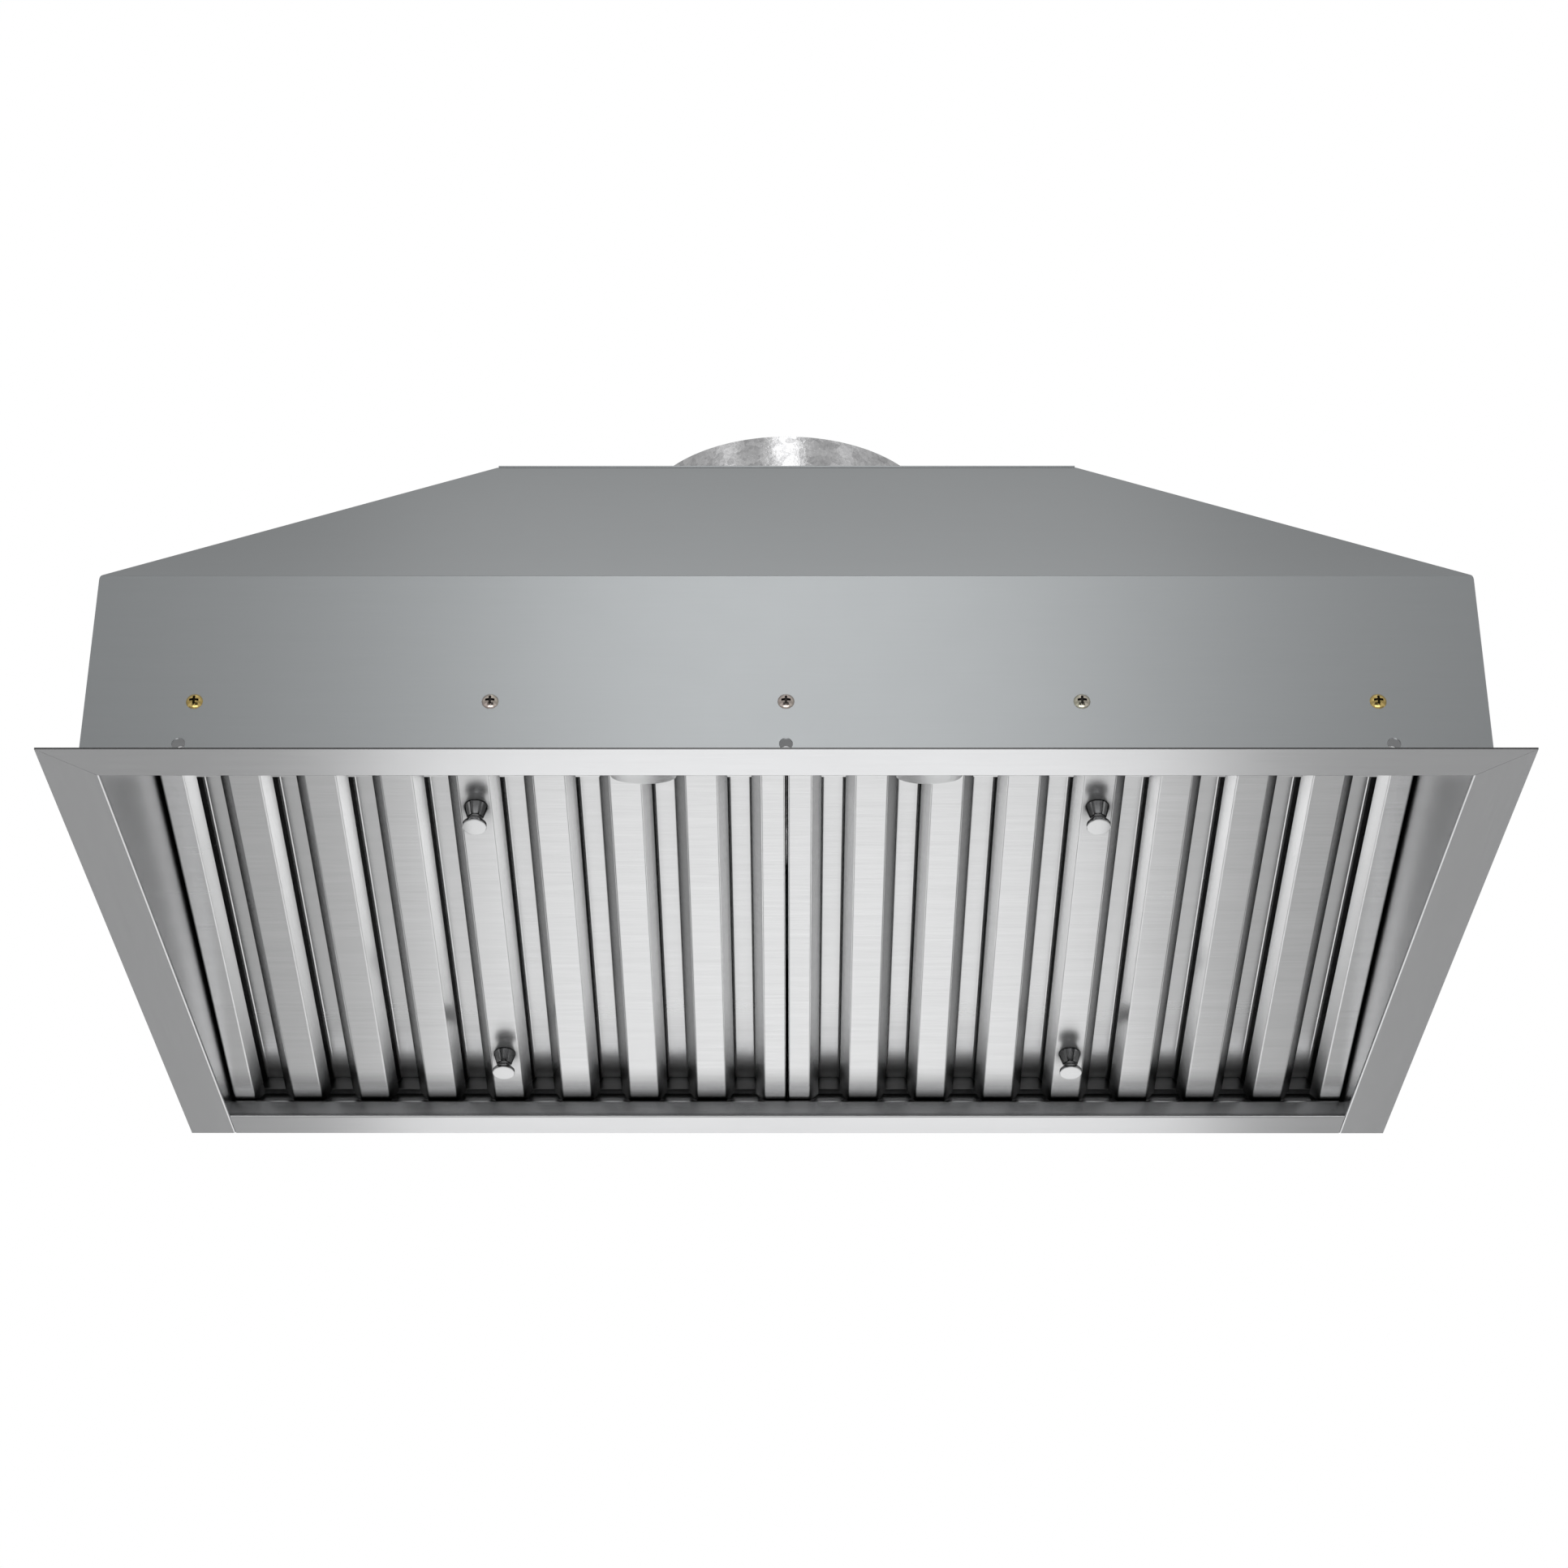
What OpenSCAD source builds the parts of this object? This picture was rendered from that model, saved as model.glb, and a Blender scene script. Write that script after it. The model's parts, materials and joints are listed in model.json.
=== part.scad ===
// Range hood insert: a stainless liner with a flange round its mouth, a tapered shell above it,
// two lift-down baffle filters, a blower and a round duct collar with a back-draught damper.
// X is across, Y runs from the front to the back, Z is up. The origin is the centre of the
// flange's underside.

/* [Flange and liner] */
// Width of the flange
flange_w = 864; // [840:1:920]
// Depth of the flange
flange_d = 569; // [560:1:600]
// Width of the flange's front strip
front_strip = 32.5; // [31:0.5:37]
// Width of the flange's side strips
side_strip = 32; // [29:0.5:34]
// Width of the flange's rear strip
rear_strip = 30; // [28:0.5:32]
// Thickness of the stainless sheet
sheet = 1.2; // [1:0.1:1.4]
// Radius of a bend, on its visible side
bend_r = 1.6; // [1.5:0.1:2]
// Height of the front inner wall, up to the control panel
front_wall_h = 48; // [46:1:54]
// Horizontal run of the control panel, from the front inner wall to its rear edge
panel_run = 140.5; // [130:0.5:144]
// Height of the turned-up edge behind the control panel
panel_return = 31; // [26:1:34]
// Height of the side inner walls
side_wall_h = 126; // [124:1:128]
// Height of the rear ledge that carries the filters
ledge_h = 13.2; // [11:0.1:16]
// Height of the liner's rear leg, which the shell is screwed to
rear_leg_h = 58; // [50:1:80]

/* [Shell] */
// How far the flange reaches beyond the shell at the sides
side_overhang = 21; // [20:0.5:23]
// How far the flange reaches beyond the shell at the front and the back
end_overhang = 19.5; // [18.5:0.5:21]
// Height of the shell's upright walls
wall_h = 130; // [129:1:145]
// Outer radius of the bend between a side wall and the tapered part
side_bend_r = 5; // [2:0.1:7]
// Height of the tapered part above the walls
canopy_h = 156; // [150:1:180]
// Width of the top plate
top_w = 375; // [365:1:420]
// Depth of the top plate
top_d = 304; // [300:1:340]
// Width of the lips that the panels turn in under the top plate
top_lip = 12; // [8:1:14]
// Distance of the outer screws in the front and the back from the shell's sides
screw_in = 64.4; // [50:0.1:80]
// Height of the shell's screws above the flange's underside
screw_z = 43; // [40:0.5:44]
// Distance of the outer screws in each side from the shell's front and back
side_screw_in = 85; // [70:1:120]
// Distance of the outer mounting holes from the shell's sides
mount_in = 57.5; // [50:0.5:90]
// Height of the mounting holes
mount_z = 14.5; // [13:0.5:20]
// Radius of the mounting holes
mount_r = 4; // [3:0.1:4.5]

/* [Duct collar and damper] */
// Outer diameter of the duct collar
collar_d = 204; // [202:0.5:206]
// Height of the collar above the top plate
collar_h = 41; // [38:1:60]
// How far the collar sits in front of the middle
collar_fwd = 24; // [18:1:30]
// Thickness of the galvanised sheet
galv = 0.8; // [0.6:0.1:1]
// Width of the collar's foot ring
foot_w = 13; // [11:0.5:14]
// Height of the damper's rod above the top plate
rod_z = 15; // [12:0.5:18]
// Radius of the damper's rod
rod_r = 2; // [1.8:0.1:2.5]

/* [Baffle filters] */
// Slope of the filters, down towards the rear
filter_tilt = 10.9; // [10:0.1:11.5]
// Thickness of a filter
filter_h = 22; // [20:0.5:24]
// Gap between a filter and the liner's side wall
side_gap = 1.5; // [1:0.1:4]
// Gap between the two filters
middle_gap = 1; // [0.8:0.1:2]
// How far a filter's rear end sits back over the ledge
rear_rest = 3; // [2.5:0.1:4]
// Number of whole ribs on a filter
rib_count = 7; // [7:2:7]
// Width of the flat at a filter's side edges
edge_flat = 15.4; // [13:0.05:18]
// Width of a rib's flat face
rib_flat = 20; // [18:0.1:21]
// Width of a rib's sloping wing
wing_w = 6.5; // [6:0.1:7]
// Height of a rib's sloping wing
wing_h = 6.4; // [5.8:0.1:7]
// Thickness of the filter's sheet
filter_t = 0.9; // [0.7:0.1:1]
// Width of the flat of an upper baffle
baffle_flat = 13; // [12:0.1:14]
// Overall width of an upper baffle
baffle_w = 28; // [26:0.5:29]
// Radius of a filter knob's head
knob_head_r = 8; // [7:0.1:8.5]
// Length of a filter knob
knob_l = 16.5; // [14:0.5:18]
// Distance of the front filter knob from the filter's front end
knob_front_in = 37; // [30:1:60]
// Distance of the rear filter knob from the filter's rear end
knob_rear_in = 59; // [50:1:80]

/* [Controls and lamps] */
// Diameter of a control knob
dial_d = 40.8; // [36:0.1:44]
// Height of a control knob's body
dial_h = 17; // [14:0.5:18]
// Gap between a control knob and the panel
dial_gap = 3; // [2:0.1:4]
// Distance of the control knobs from the middle
dial_x = 88; // [80:1:100]
// Distance of the controls and lamps up the panel, from the front inner wall
control_s = 93; // [85:1:96]
// Distance of the lamps from the middle
lamp_x = 255; // [240:1:290]
// Radius of a lamp's bezel
bezel_r = 36; // [33:0.5:38]
// Radius of a lamp's lens
lens_r = 28; // [25:0.5:30]

/* [Blower] */
// Diameter of the blower wheel
wheel_d = 140; // [130:1:144]
// Gap between the blower wheel and the scroll housing's outside, on each side
wheel_side = 7; // [7:0.5:15]
// Width of the scroll housing
scroll_w = 160; // [156:1:161]
// Gap between the wheel and the scroll at the tongue
tongue_gap = 10; // [7:0.5:10]
// Growth of the scroll's radius from the tongue to the outlet
scroll_growth = 32; // [28:1:33]
// Number of blades on the wheel
blade_count = 30; // [20:1:36]
// Radius of the motor
motor_r = 42; // [36:0.5:44]
// Radius of the motor's shaft
shaft_r = 4; // [3:0.5:5]

/* [Hidden] */
$fn = 64;

steel = [0.74, 0.75, 0.76];
shell_steel = [0.60, 0.62, 0.64];
galvanised = [0.78, 0.79, 0.79];
zinc = [0.78, 0.66, 0.36];
dark_metal = [0.30, 0.31, 0.33];
chrome = [0.82, 0.83, 0.85];
white_plastic = [0.90, 0.90, 0.88];
black_plastic = [0.10, 0.10, 0.11];
lens_white = [0.95, 0.96, 0.98];

// Places worked out from the sizes above
in_x = flange_w / 2 - side_strip;
in_front = front_strip - flange_d / 2;
in_rear = flange_d / 2 - rear_strip;
body_x = flange_w / 2 - side_overhang;
body_y = flange_d / 2 - end_overhang;
top_z = wall_h + canopy_h;
under_top = top_z - sheet;
screw_pitch = (body_x - screw_in) / 2;
side_screws = body_y - side_screw_in;
mount_pitch = body_x - mount_in;
ridge_y = in_front + panel_run;
cut = 2 * sheet;
running = 0.05;
seat_gap = 0.3;

// The filters lie on a slope from the ledge up to the rear edge of the control panel
front_gap = 4;
rest_gap = 0.4;
filter_rear_y = in_rear + rear_rest;
filter_rear_z = ledge_h + rest_gap;
filter_front_y = ridge_y + front_gap;
filter_run = filter_rear_y - filter_front_y;
filter_l = filter_run / cos(filter_tilt);
filter_front_z = filter_rear_z + filter_run * tan(filter_tilt);
filter_w = (2 * in_x - 2 * side_gap - middle_gap) / 2;
filter_x = (filter_w + middle_gap) / 2;
rib_w = rib_flat + 2 * wing_w;
rib_pitch = (filter_w + rib_flat - 2 * edge_flat) / (rib_count + 1);
rib_bend = 1.8;
rib_corner = 4;
front_rail_lip = 14;
rear_rail_lip = 6;
rail_top_lip = 9;
baffle_drop = 11;
baffle_top = filter_h - filter_t;
baffle_low = baffle_top - filter_t - baffle_drop;

// The control panel rises from the front inner wall to the front of the filters
ridge_z = filter_front_z + sheet;
panel_tilt = atan((ridge_z - front_wall_h) / panel_run);
return_top = ridge_z + panel_return;
return_lip = 14;

function unit(v) = v / norm(v);
function left_of(v) = [-v[1], v[0]];
function mitre(a, b, c) =
    let (n = left_of(unit(b - a)), m = left_of(unit(c - b)))
    (n + m) / (1 + n * m);
// The path moved sideways by t, to the left of its direction
function shifted(path, t) =
    let (last = len(path) - 1)
    [for (i = [0:last])
        path[i] + t * (
            i == 0 ? left_of(unit(path[1] - path[0])) :
            i == last ? left_of(unit(path[last] - path[last - 1])) :
            mitre(path[i - 1], path[i], path[i + 1]))];
function backwards(path) = [for (i = [len(path) - 1:-1:0]) path[i]];
function folded(path, t) = concat(path, backwards(shifted(path, t)));
// Each inner corner of the path becomes an arc of radius r
bend_steps = 4;
function arc_between(c, r, a, b) =
    let (turn = acos(a * b))
    [for (k = [0:bend_steps])
        c + r * (sin(turn * (1 - k / bend_steps)) * a + sin(turn * k / bend_steps) * b) / sin(turn)];
function corner_arc(a, b, c, r) =
    let (u = unit(a - b), w = unit(c - b), half = acos(u * w) / 2)
    let (m = b + unit(u + w) * r / sin(half), back = r / tan(half))
    arc_between(m, r, unit(b + u * back - m), unit(b + w * back - m));
function bent(path, r) =
    let (last = len(path) - 1)
    concat([path[0]],
        [for (i = [1:last - 1]) each corner_arc(path[i - 1], path[i], path[i + 1], r)],
        [path[last]]);

// An outline in Y and Z, run along X and centred on it
module along_x(length) {
    rotate([90, 0, 90]) linear_extrude(height = length, center = true) children();
}

// An outline in X and Z, run along Y and centred on it
module along_y(length) {
    rotate([90, 0, 0]) linear_extrude(height = length, center = true) children();
}

// A round bar along X or Y, from a to b
module bar_x(r, a, b) {
    translate([a, 0, 0]) rotate([0, 90, 0]) cylinder(r = r, h = b - a);
}

module bar_y(r, a, b) {
    translate([0, a, 0]) rotate([-90, 0, 0]) cylinder(r = r, h = b - a);
}

module at_panel(x, s) {
    translate([x, in_front, front_wall_h]) rotate([panel_tilt, 0, 0]) translate([0, s, 0]) children();
}

module at_filter(side) {
    translate([side * filter_x, filter_front_y, filter_front_z])
        rotate([-filter_tilt, 0, 0]) children();
}

// Liner
hem = body_x - sheet - in_x;

dial_hole_r = 5.2;
lamp_hole_r = lens_r + 2 * sheet;

module mount_holes(y_from, y_to, r) {
    for (i = [-1:1])
        translate([i * mount_pitch, 0, mount_z]) bar_y(r, y_from, y_to);
}

// The panel's tab stands on the front inner wall
tab_h = 12;

module liner_front() {
    path = [[-flange_d / 2, 0], [in_front, 0], [in_front, front_wall_h + tab_h]];
    color(steel) difference() {
        intersection() {
            along_x(flange_w) polygon(folded(bent(path, bend_r), sheet));
            linear_extrude(height = top_z)
                polygon([[-flange_w / 2, -flange_d / 2], [flange_w / 2, -flange_d / 2],
                    [in_x, in_front], [in_x, in_rear], [-in_x, in_rear], [-in_x, in_front]]);
        }
        mount_holes(in_front - 2 * sheet, in_front + sheet, mount_r + sheet);
    }
}

module control_panel() {
    path = [[in_front, front_wall_h + tab_h], [in_front, front_wall_h], [ridge_y, ridge_z],
        [ridge_y, return_top], [ridge_y - return_lip, return_top]];
    color(steel) difference() {
        along_x(2 * in_x) polygon(folded(bent(path, bend_r), sheet));
        for (side = [-1, 1]) {
            at_panel(side * dial_x, control_s)
                translate([0, 0, -cut]) cylinder(r = dial_hole_r, h = 3 * cut);
            at_panel(side * lamp_x, control_s)
                translate([0, 0, -cut]) cylinder(r = lamp_hole_r, h = 3 * cut);
        }
    }
}

module liner_rear() {
    back = body_y - 2 * sheet;
    path = [[flange_d / 2, 0], [in_rear, 0], [in_rear, ledge_h], [back, ledge_h], [back, rear_leg_h]];
    color(steel) difference() {
        along_x(2 * in_x) polygon(folded(bent(path, bend_r), -sheet));
        screw_row_y(back - cut, back + 2 * cut, screw_hole_r);
    }
}

module liner_right() {
    path = [[flange_w / 2, 0], [in_x, 0], [in_x, side_wall_h], [in_x + hem, side_wall_h]];
    color(steel) intersection() {
        along_y(flange_d) polygon(folded(bent(path, bend_r), -sheet));
        union() {
            linear_extrude(height = sheet)
                polygon([[in_x, in_front], [flange_w / 2, -flange_d / 2],
                    [flange_w / 2, flange_d / 2], [in_x, flange_d / 2]]);
            translate([in_x, in_front, 0])
                cube([side_strip, body_y - sheet - in_front, side_wall_h + sheet]);
        }
    }
}

module liner_left() {
    mirror([1, 0, 0]) liner_right();
}

// Screws of the shell
screw_hole_r = 2.1;
screw_r = 2;
screw_l = 7.5;
head_r = 5;
head_h = 2.8;
cross_l = 5.4;
cross_w = 1.3;
cross_deep = 1.5;

// A pan-head screw whose head stands up along Z from the sheet's outer face at Z zero
module pan_screw(length, r = screw_r, big = head_r, tall = head_h) {
    round_r = (big * big + tall * tall) / (2 * tall);
    difference() {
        union() {
            intersection() {
                translate([0, 0, tall - round_r]) sphere(r = round_r);
                cylinder(r = big, h = tall);
            }
            translate([0, 0, -length]) cylinder(r = r, h = length + tall / 2);
        }
        for (turn = [0, 90])
            rotate([0, 0, turn])
                translate([-cross_l * big / head_r / 2, -cross_w * big / head_r / 2, tall - cross_deep])
                    cube([cross_l * big / head_r, cross_w * big / head_r, cross_deep + tall]);
    }
}

module screw_row_y(y_from, y_to, r) {
    for (i = [-2:2])
        translate([i * screw_pitch, 0, screw_z]) bar_y(r, y_from, y_to);
}

module screw_row_x(x_from, x_to, r) {
    for (i = [-1:1])
        translate([0, i * side_screws, screw_z]) bar_x(r, x_from, x_to);
}

module shell_screws() {
    color(zinc) for (side = [-1, 1]) {
        for (i = [-2:2])
            translate([i * screw_pitch, side * body_y, screw_z])
                rotate([-side * 90, 0, 0]) pan_screw(screw_l);
        for (i = [-1:1])
            translate([side * body_x, i * side_screws, screw_z])
                rotate([0, side * 90, 0]) pan_screw(screw_l);
    }
}

// Spacer channels between the liner and the shell, which the screws run into
rail_below = 12;
rail_above = 4;
rail_end_gap = 20;

module rail_front() {
    near = in_front - sheet;
    far = sheet - body_y;
    low = screw_z - rail_below;
    high = screw_z + rail_above;
    color(steel) difference() {
        along_x(2 * in_x - 2 * rail_end_gap)
            polygon(folded([[near, low], [far, low], [far, high], [near, high]], -sheet));
        screw_row_y(far - cut, far + cut, screw_hole_r);
    }
}

module rail_right() {
    near = in_x + sheet;
    far = body_x - sheet;
    low = screw_z - rail_below;
    high = screw_z + rail_above;
    color(steel) difference() {
        along_y(2 * side_screws + 4 * rail_end_gap)
            polygon(folded([[near, low], [far, low], [far, high], [near, high]], sheet));
        screw_row_x(far - cut, far + cut, screw_hole_r);
    }
}

module rail_left() {
    mirror([1, 0, 0]) rail_right();
}

// Shell
front_path = bent([[-body_y, sheet], [-body_y, wall_h], [-top_d / 2, under_top],
    [top_lip - top_d / 2, under_top]], bend_r);
front_inner = shifted(front_path, -sheet);
side_corner = corner_arc([body_x, 0], [body_x, wall_h], [top_w / 2, under_top], side_bend_r);
function flip(path) = [for (p = path) [-p[0], p[1]]];

module shell_front() {
    color(shell_steel) difference() {
        intersection() {
            along_x(2 * body_x) polygon(folded(front_path, -sheet));
            along_y(2 * body_y)
                polygon(concat([[-body_x, 0], [body_x, 0]], side_corner, [[top_w / 2, under_top],
                    [-top_w / 2, under_top]], backwards(flip(side_corner))));
        }
        screw_row_y(-body_y - cut, cut - body_y, screw_hole_r);
        mount_holes(-body_y - cut, cut - body_y, mount_r);
    }
}

module shell_rear() {
    mirror([0, 1, 0]) shell_front();
}

module shell_right() {
    path = concat([[body_x, sheet]], side_corner,
        [[top_w / 2, under_top], [top_w / 2 - top_lip, under_top]]);
    half = concat(front_inner, [[top_lip - top_d / 2, under_top]]);
    color(shell_steel) difference() {
        intersection() {
            along_y(2 * body_y) polygon(folded(path, sheet));
            along_x(2 * body_x) polygon(concat(half, backwards(flip(half))));
        }
        screw_row_x(body_x - cut, body_x + cut, screw_hole_r);
    }
}

module shell_left() {
    mirror([1, 0, 0]) shell_right();
}

// Duct collar
collar_r = collar_d / 2;
collar_in = collar_r - galv;
duct_hole_r = collar_in - 2 * galv;
foot_r = collar_r + foot_w;
foot_screw_r = 1.6;
foot_head_r = 3.6;
foot_head_h = 1.9;
foot_screws = 8;
foot_screw_l = 5;
bead_r = 1.5;
bead_z = 8;
axle_z = top_z + rod_z;

module collar_screw_places() {
    for (i = [0:foot_screws - 1])
        rotate([0, 0, (i + 1 / 2) * 360 / foot_screws]) translate([collar_r + foot_w / 2, 0, 0]) children();
}

// Junction box under the top plate, between the blower's flange and the shell's lips
box_x = 84;
box_z = 40;
box_t = 1;
box_front = foot_r - collar_fwd + box_t;
box_rear = top_d / 2 - top_lip - box_t;
box_y = box_rear - box_front;
gland_x = top_w / 2 - top_lip - box_x / 2 - box_t;
gland_y = (box_front + box_rear) / 2;
gland_hole_r = 11.1;

module top_plate() {
    color(shell_steel) difference() {
        translate([-top_w / 2, -top_d / 2, under_top]) cube([top_w, top_d, sheet]);
        translate([0, -collar_fwd, under_top - sheet]) {
            cylinder(r = duct_hole_r, h = 3 * sheet);
            collar_screw_places() cylinder(r = foot_screw_r + running, h = 3 * sheet);
        }
        translate([gland_x, gland_y, under_top - sheet]) cylinder(r = gland_hole_r, h = 3 * sheet);
    }
}

stop_w = 16;
stop_l = 8;
stop_z = rod_z - galv / 2 - seat_gap - galv;

module duct_collar() {
    color(galvanised) translate([0, -collar_fwd, top_z]) difference() {
        union() {
            rotate_extrude() union() {
                translate([collar_in, 0]) square([galv, collar_h]);
                translate([collar_in, 0]) square([foot_r - collar_in, galv]);
                translate([collar_r, bead_z]) circle(r = bead_r);
            }
            for (turn = [90, 270])
                rotate([0, 0, turn])
                    translate([collar_in - stop_l, -stop_w / 2, stop_z])
                        cube([stop_l + galv / 2, stop_w, galv]);
        }
        rotate_extrude() translate([0, -galv]) square([collar_in, stop_z]);
        rotate_extrude() translate([0, bead_z - 2 * bead_r]) square([collar_in, 4 * bead_r]);
        collar_screw_places() translate([0, 0, -galv]) cylinder(r = foot_screw_r + running, h = 3 * galv);
        translate([0, 0, rod_z]) bar_x(rod_r + running, -foot_r, foot_r);
    }
}

module collar_screws() {
    color(zinc) translate([0, -collar_fwd, top_z + galv])
        collar_screw_places() pan_screw(foot_screw_l, foot_screw_r, foot_head_r, foot_head_h);
}

// Damper: two half discs on one rod
flap_gap = 1.5;
flap_r = collar_in - flap_gap;
knuckle_r = rod_r + running + galv;
knuckle_gap = 0.6;
knuckle_l = 18;
knuckle_step = 44;

module damper_rod() {
    color(chrome) translate([0, -collar_fwd, axle_z]) bar_x(rod_r, -collar_r, collar_r);
}

// A flap that reaches to the rear; its knuckles sit at the given places along the rod
module flap(places) {
    edge = knuckle_r + knuckle_gap;
    difference() {
        union() {
            intersection() {
                translate([0, 0, -galv / 2]) cylinder(r = flap_r, h = galv);
                translate([-flap_r, edge, -galv]) cube([2 * flap_r, flap_r, 2 * galv]);
            }
            for (x = places)
                translate([x, 0, 0]) {
                    bar_x(knuckle_r, -knuckle_l / 2, knuckle_l / 2);
                    translate([-knuckle_l / 2, 0, -galv / 2]) cube([knuckle_l, edge + galv, galv]);
                }
        }
        bar_x(rod_r + running, -flap_r, flap_r);
    }
}

module damper_flap_rear() {
    color(galvanised) translate([0, -collar_fwd, axle_z])
        flap([-1.5 * knuckle_step, 0.5 * knuckle_step]);
}

module damper_flap_front() {
    color(galvanised) translate([0, -collar_fwd, axle_z])
        rotate([0, 0, 180]) flap([-1.5 * knuckle_step, 0.5 * knuckle_step]);
}

// Blower
plate_t = 1.5;
wrap_t = 1;
wheel_r = wheel_d / 2;
wheel_w = scroll_w - 2 * wheel_side;
tongue_r = wheel_r + tongue_gap;
outlet_r = tongue_r + scroll_growth;
tongue_drop = 11.3;
out_z = under_top - plate_t;
axis_z = out_z - tongue_drop - tongue_r;
axis_y = outlet_r / 2 - collar_fwd;
blade_depth = 12;
blade_t = 0.8;
blade_lean = 28;
inlet_step = 2;
inlet_r = wheel_r - blade_depth - inlet_step;
flange_in = scroll_w / 2 - wrap_t;
flange_half = foot_r;
scroll_step = 10;
scroll_turn = 270;

function scroll_point(turn) =
    let (r = tongue_r + scroll_growth * turn / scroll_turn)
    [axis_y + r * sin(turn), axis_z + r * cos(turn)];
scroll_path = concat([[axis_y, out_z]], [for (turn = [0:scroll_step:scroll_turn]) scroll_point(turn)],
    [[axis_y - outlet_r, out_z]]);

module at_axis() {
    translate([0, axis_y, axis_z]) children();
}

module outlet_flange() {
    color(galvanised) difference() {
        translate([-flange_half, -collar_fwd - flange_half, out_z])
            cube([2 * flange_half, 2 * flange_half, plate_t]);
        translate([-flange_in, axis_y - outlet_r, out_z - plate_t])
            cube([2 * flange_in, outlet_r, 3 * plate_t]);
        translate([0, -collar_fwd, out_z - plate_t])
            collar_screw_places() cylinder(r = foot_screw_r + running, h = 3 * plate_t);
    }
}

module scroll_wrap() {
    color(galvanised) along_x(scroll_w - 2 * wrap_t) polygon(folded(scroll_path, wrap_t));
}

foot_hole_turns = [90, 210, 330];
bracket_foot_out = 9;
bracket_foot_r = inlet_r + bracket_foot_out;

// The plate at the positive X end of the scroll
module scroll_cheek() {
    difference() {
        translate([(scroll_w - wrap_t) / 2, 0, 0])
            along_x(wrap_t) polygon(shifted(scroll_path, wrap_t));
        at_axis() bar_x(inlet_r, 0, scroll_w);
    }
}

module bracket_places() {
    for (turn = foot_hole_turns)
        rotate([turn, 0, 0]) translate([0, bracket_foot_r, 0]) children();
}

module scroll_cheek_left() {
    color(galvanised) mirror([1, 0, 0]) scroll_cheek();
}

module scroll_cheek_right() {
    color(galvanised) difference() {
        scroll_cheek();
        at_axis() bracket_places() bar_x(foot_screw_r + running, 0, scroll_w);
    }
}

ring_lip = 5;
ring_w = 6;

// Turned rings inside the two inlets that guide the air into the wheel
module inlet_rings() {
    inner = scroll_w / 2 - wrap_t;
    color(galvanised) at_axis() for (side = [-1, 1])
        rotate([0, side * 90, 0]) rotate_extrude() union() {
            translate([inlet_r, inner - wrap_t]) square([ring_w, wrap_t]);
            translate([inlet_r, inner - ring_lip]) square([wrap_t, ring_lip]);
        }
}

hub_r = 12;
hub_l = 16;
end_ring_t = 1.5;
motor_gap = 8;
motor_end = scroll_w / 2;
motor_cap = 20;
bore_end = motor_end - motor_cap;

module blower_wheel() {
    color(dark_metal) at_axis() difference() {
        union() {
            bar_x(wheel_r, -plate_t / 2, plate_t / 2);
            bar_x(hub_r, plate_t / 2 - hub_l, plate_t / 2);
            for (side = [-1, 1])
                translate([side * (wheel_w - end_ring_t) / 2, 0, 0]) difference() {
                    bar_x(wheel_r, -end_ring_t / 2, end_ring_t / 2);
                    bar_x(wheel_r - blade_depth, -end_ring_t, end_ring_t);
                }
            for (i = [0:blade_count - 1])
                rotate([i * 360 / blade_count, 0, 0])
                    translate([0, wheel_r - blade_depth / 2, 0]) rotate([blade_lean, 0, 0])
                        translate([-wheel_w / 2, -blade_depth / 2 + blade_t, -blade_t / 2])
                            cube([wheel_w, blade_depth - 2 * blade_t, blade_t]);
        }
        bar_x(shaft_r, -hub_l - cut, hub_l);
    }
}

module motor_shaft() {
    color(chrome) at_axis() bar_x(shaft_r, -hub_l, bore_end - sheet);
}

boss_r = 11;
boss_l = 3;
motor_rib_w = 3;
motor_rib_h = 1.2;
motor_ribs = 12;

module motor() {
    color(dark_metal) at_axis() difference() {
        union() {
            bar_x(motor_r - motor_rib_h, motor_gap, motor_end);
            bar_x(boss_r, motor_gap - boss_l, motor_end);
            for (i = [0:motor_ribs - 1])
                rotate([i * 360 / motor_ribs, 0, 0])
                    translate([motor_gap + boss_l, 0, -motor_rib_w / 2])
                        cube([motor_end - motor_gap - 2 * boss_l, motor_r, motor_rib_w]);
        }
        bar_x(shaft_r + running, 0, bore_end);
    }
}

arm_w = 16;
disc_r = 32;

module motor_bracket() {
    color(galvanised) at_axis() difference() {
        union() {
            bar_x(disc_r, motor_end, motor_end + plate_t);
            for (turn = foot_hole_turns)
                rotate([turn, 0, 0]) translate([motor_end, 0, -arm_w / 2])
                    cube([plate_t, bracket_foot_r + arm_w / 2, arm_w]);
        }
        bracket_places() bar_x(foot_screw_r + running, motor_end - cut, motor_end + cut);
    }
}

module motor_screws() {
    color(zinc) at_axis() bracket_places()
        translate([motor_end + plate_t, 0, 0]) rotate([0, 90, 0])
            pan_screw(foot_screw_l, foot_screw_r, foot_head_r, foot_head_h);
}

// Junction box with its lid, terminal block and gland
module junction_box() {
    color(galvanised) translate([gland_x, gland_y, under_top]) difference() {
        translate([-box_x / 2, -box_y / 2, -box_z]) cube([box_x, box_y, box_z]);
        translate([box_t - box_x / 2, box_t - box_y / 2, -box_z - box_t])
            cube([box_x - 2 * box_t, box_y - 2 * box_t, box_z]);
        translate([0, 0, -cut]) cylinder(r = gland_hole_r, h = 2 * cut);
    }
}

module junction_lid() {
    color(galvanised) translate([gland_x - box_x / 2, gland_y - box_y / 2, under_top - box_z - box_t])
        cube([box_x, box_y, box_t]);
}

block_x = 36;
block_y = 20;
block_z = 14;
block_poles = 4;
block_hole_r = 2.5;

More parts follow.
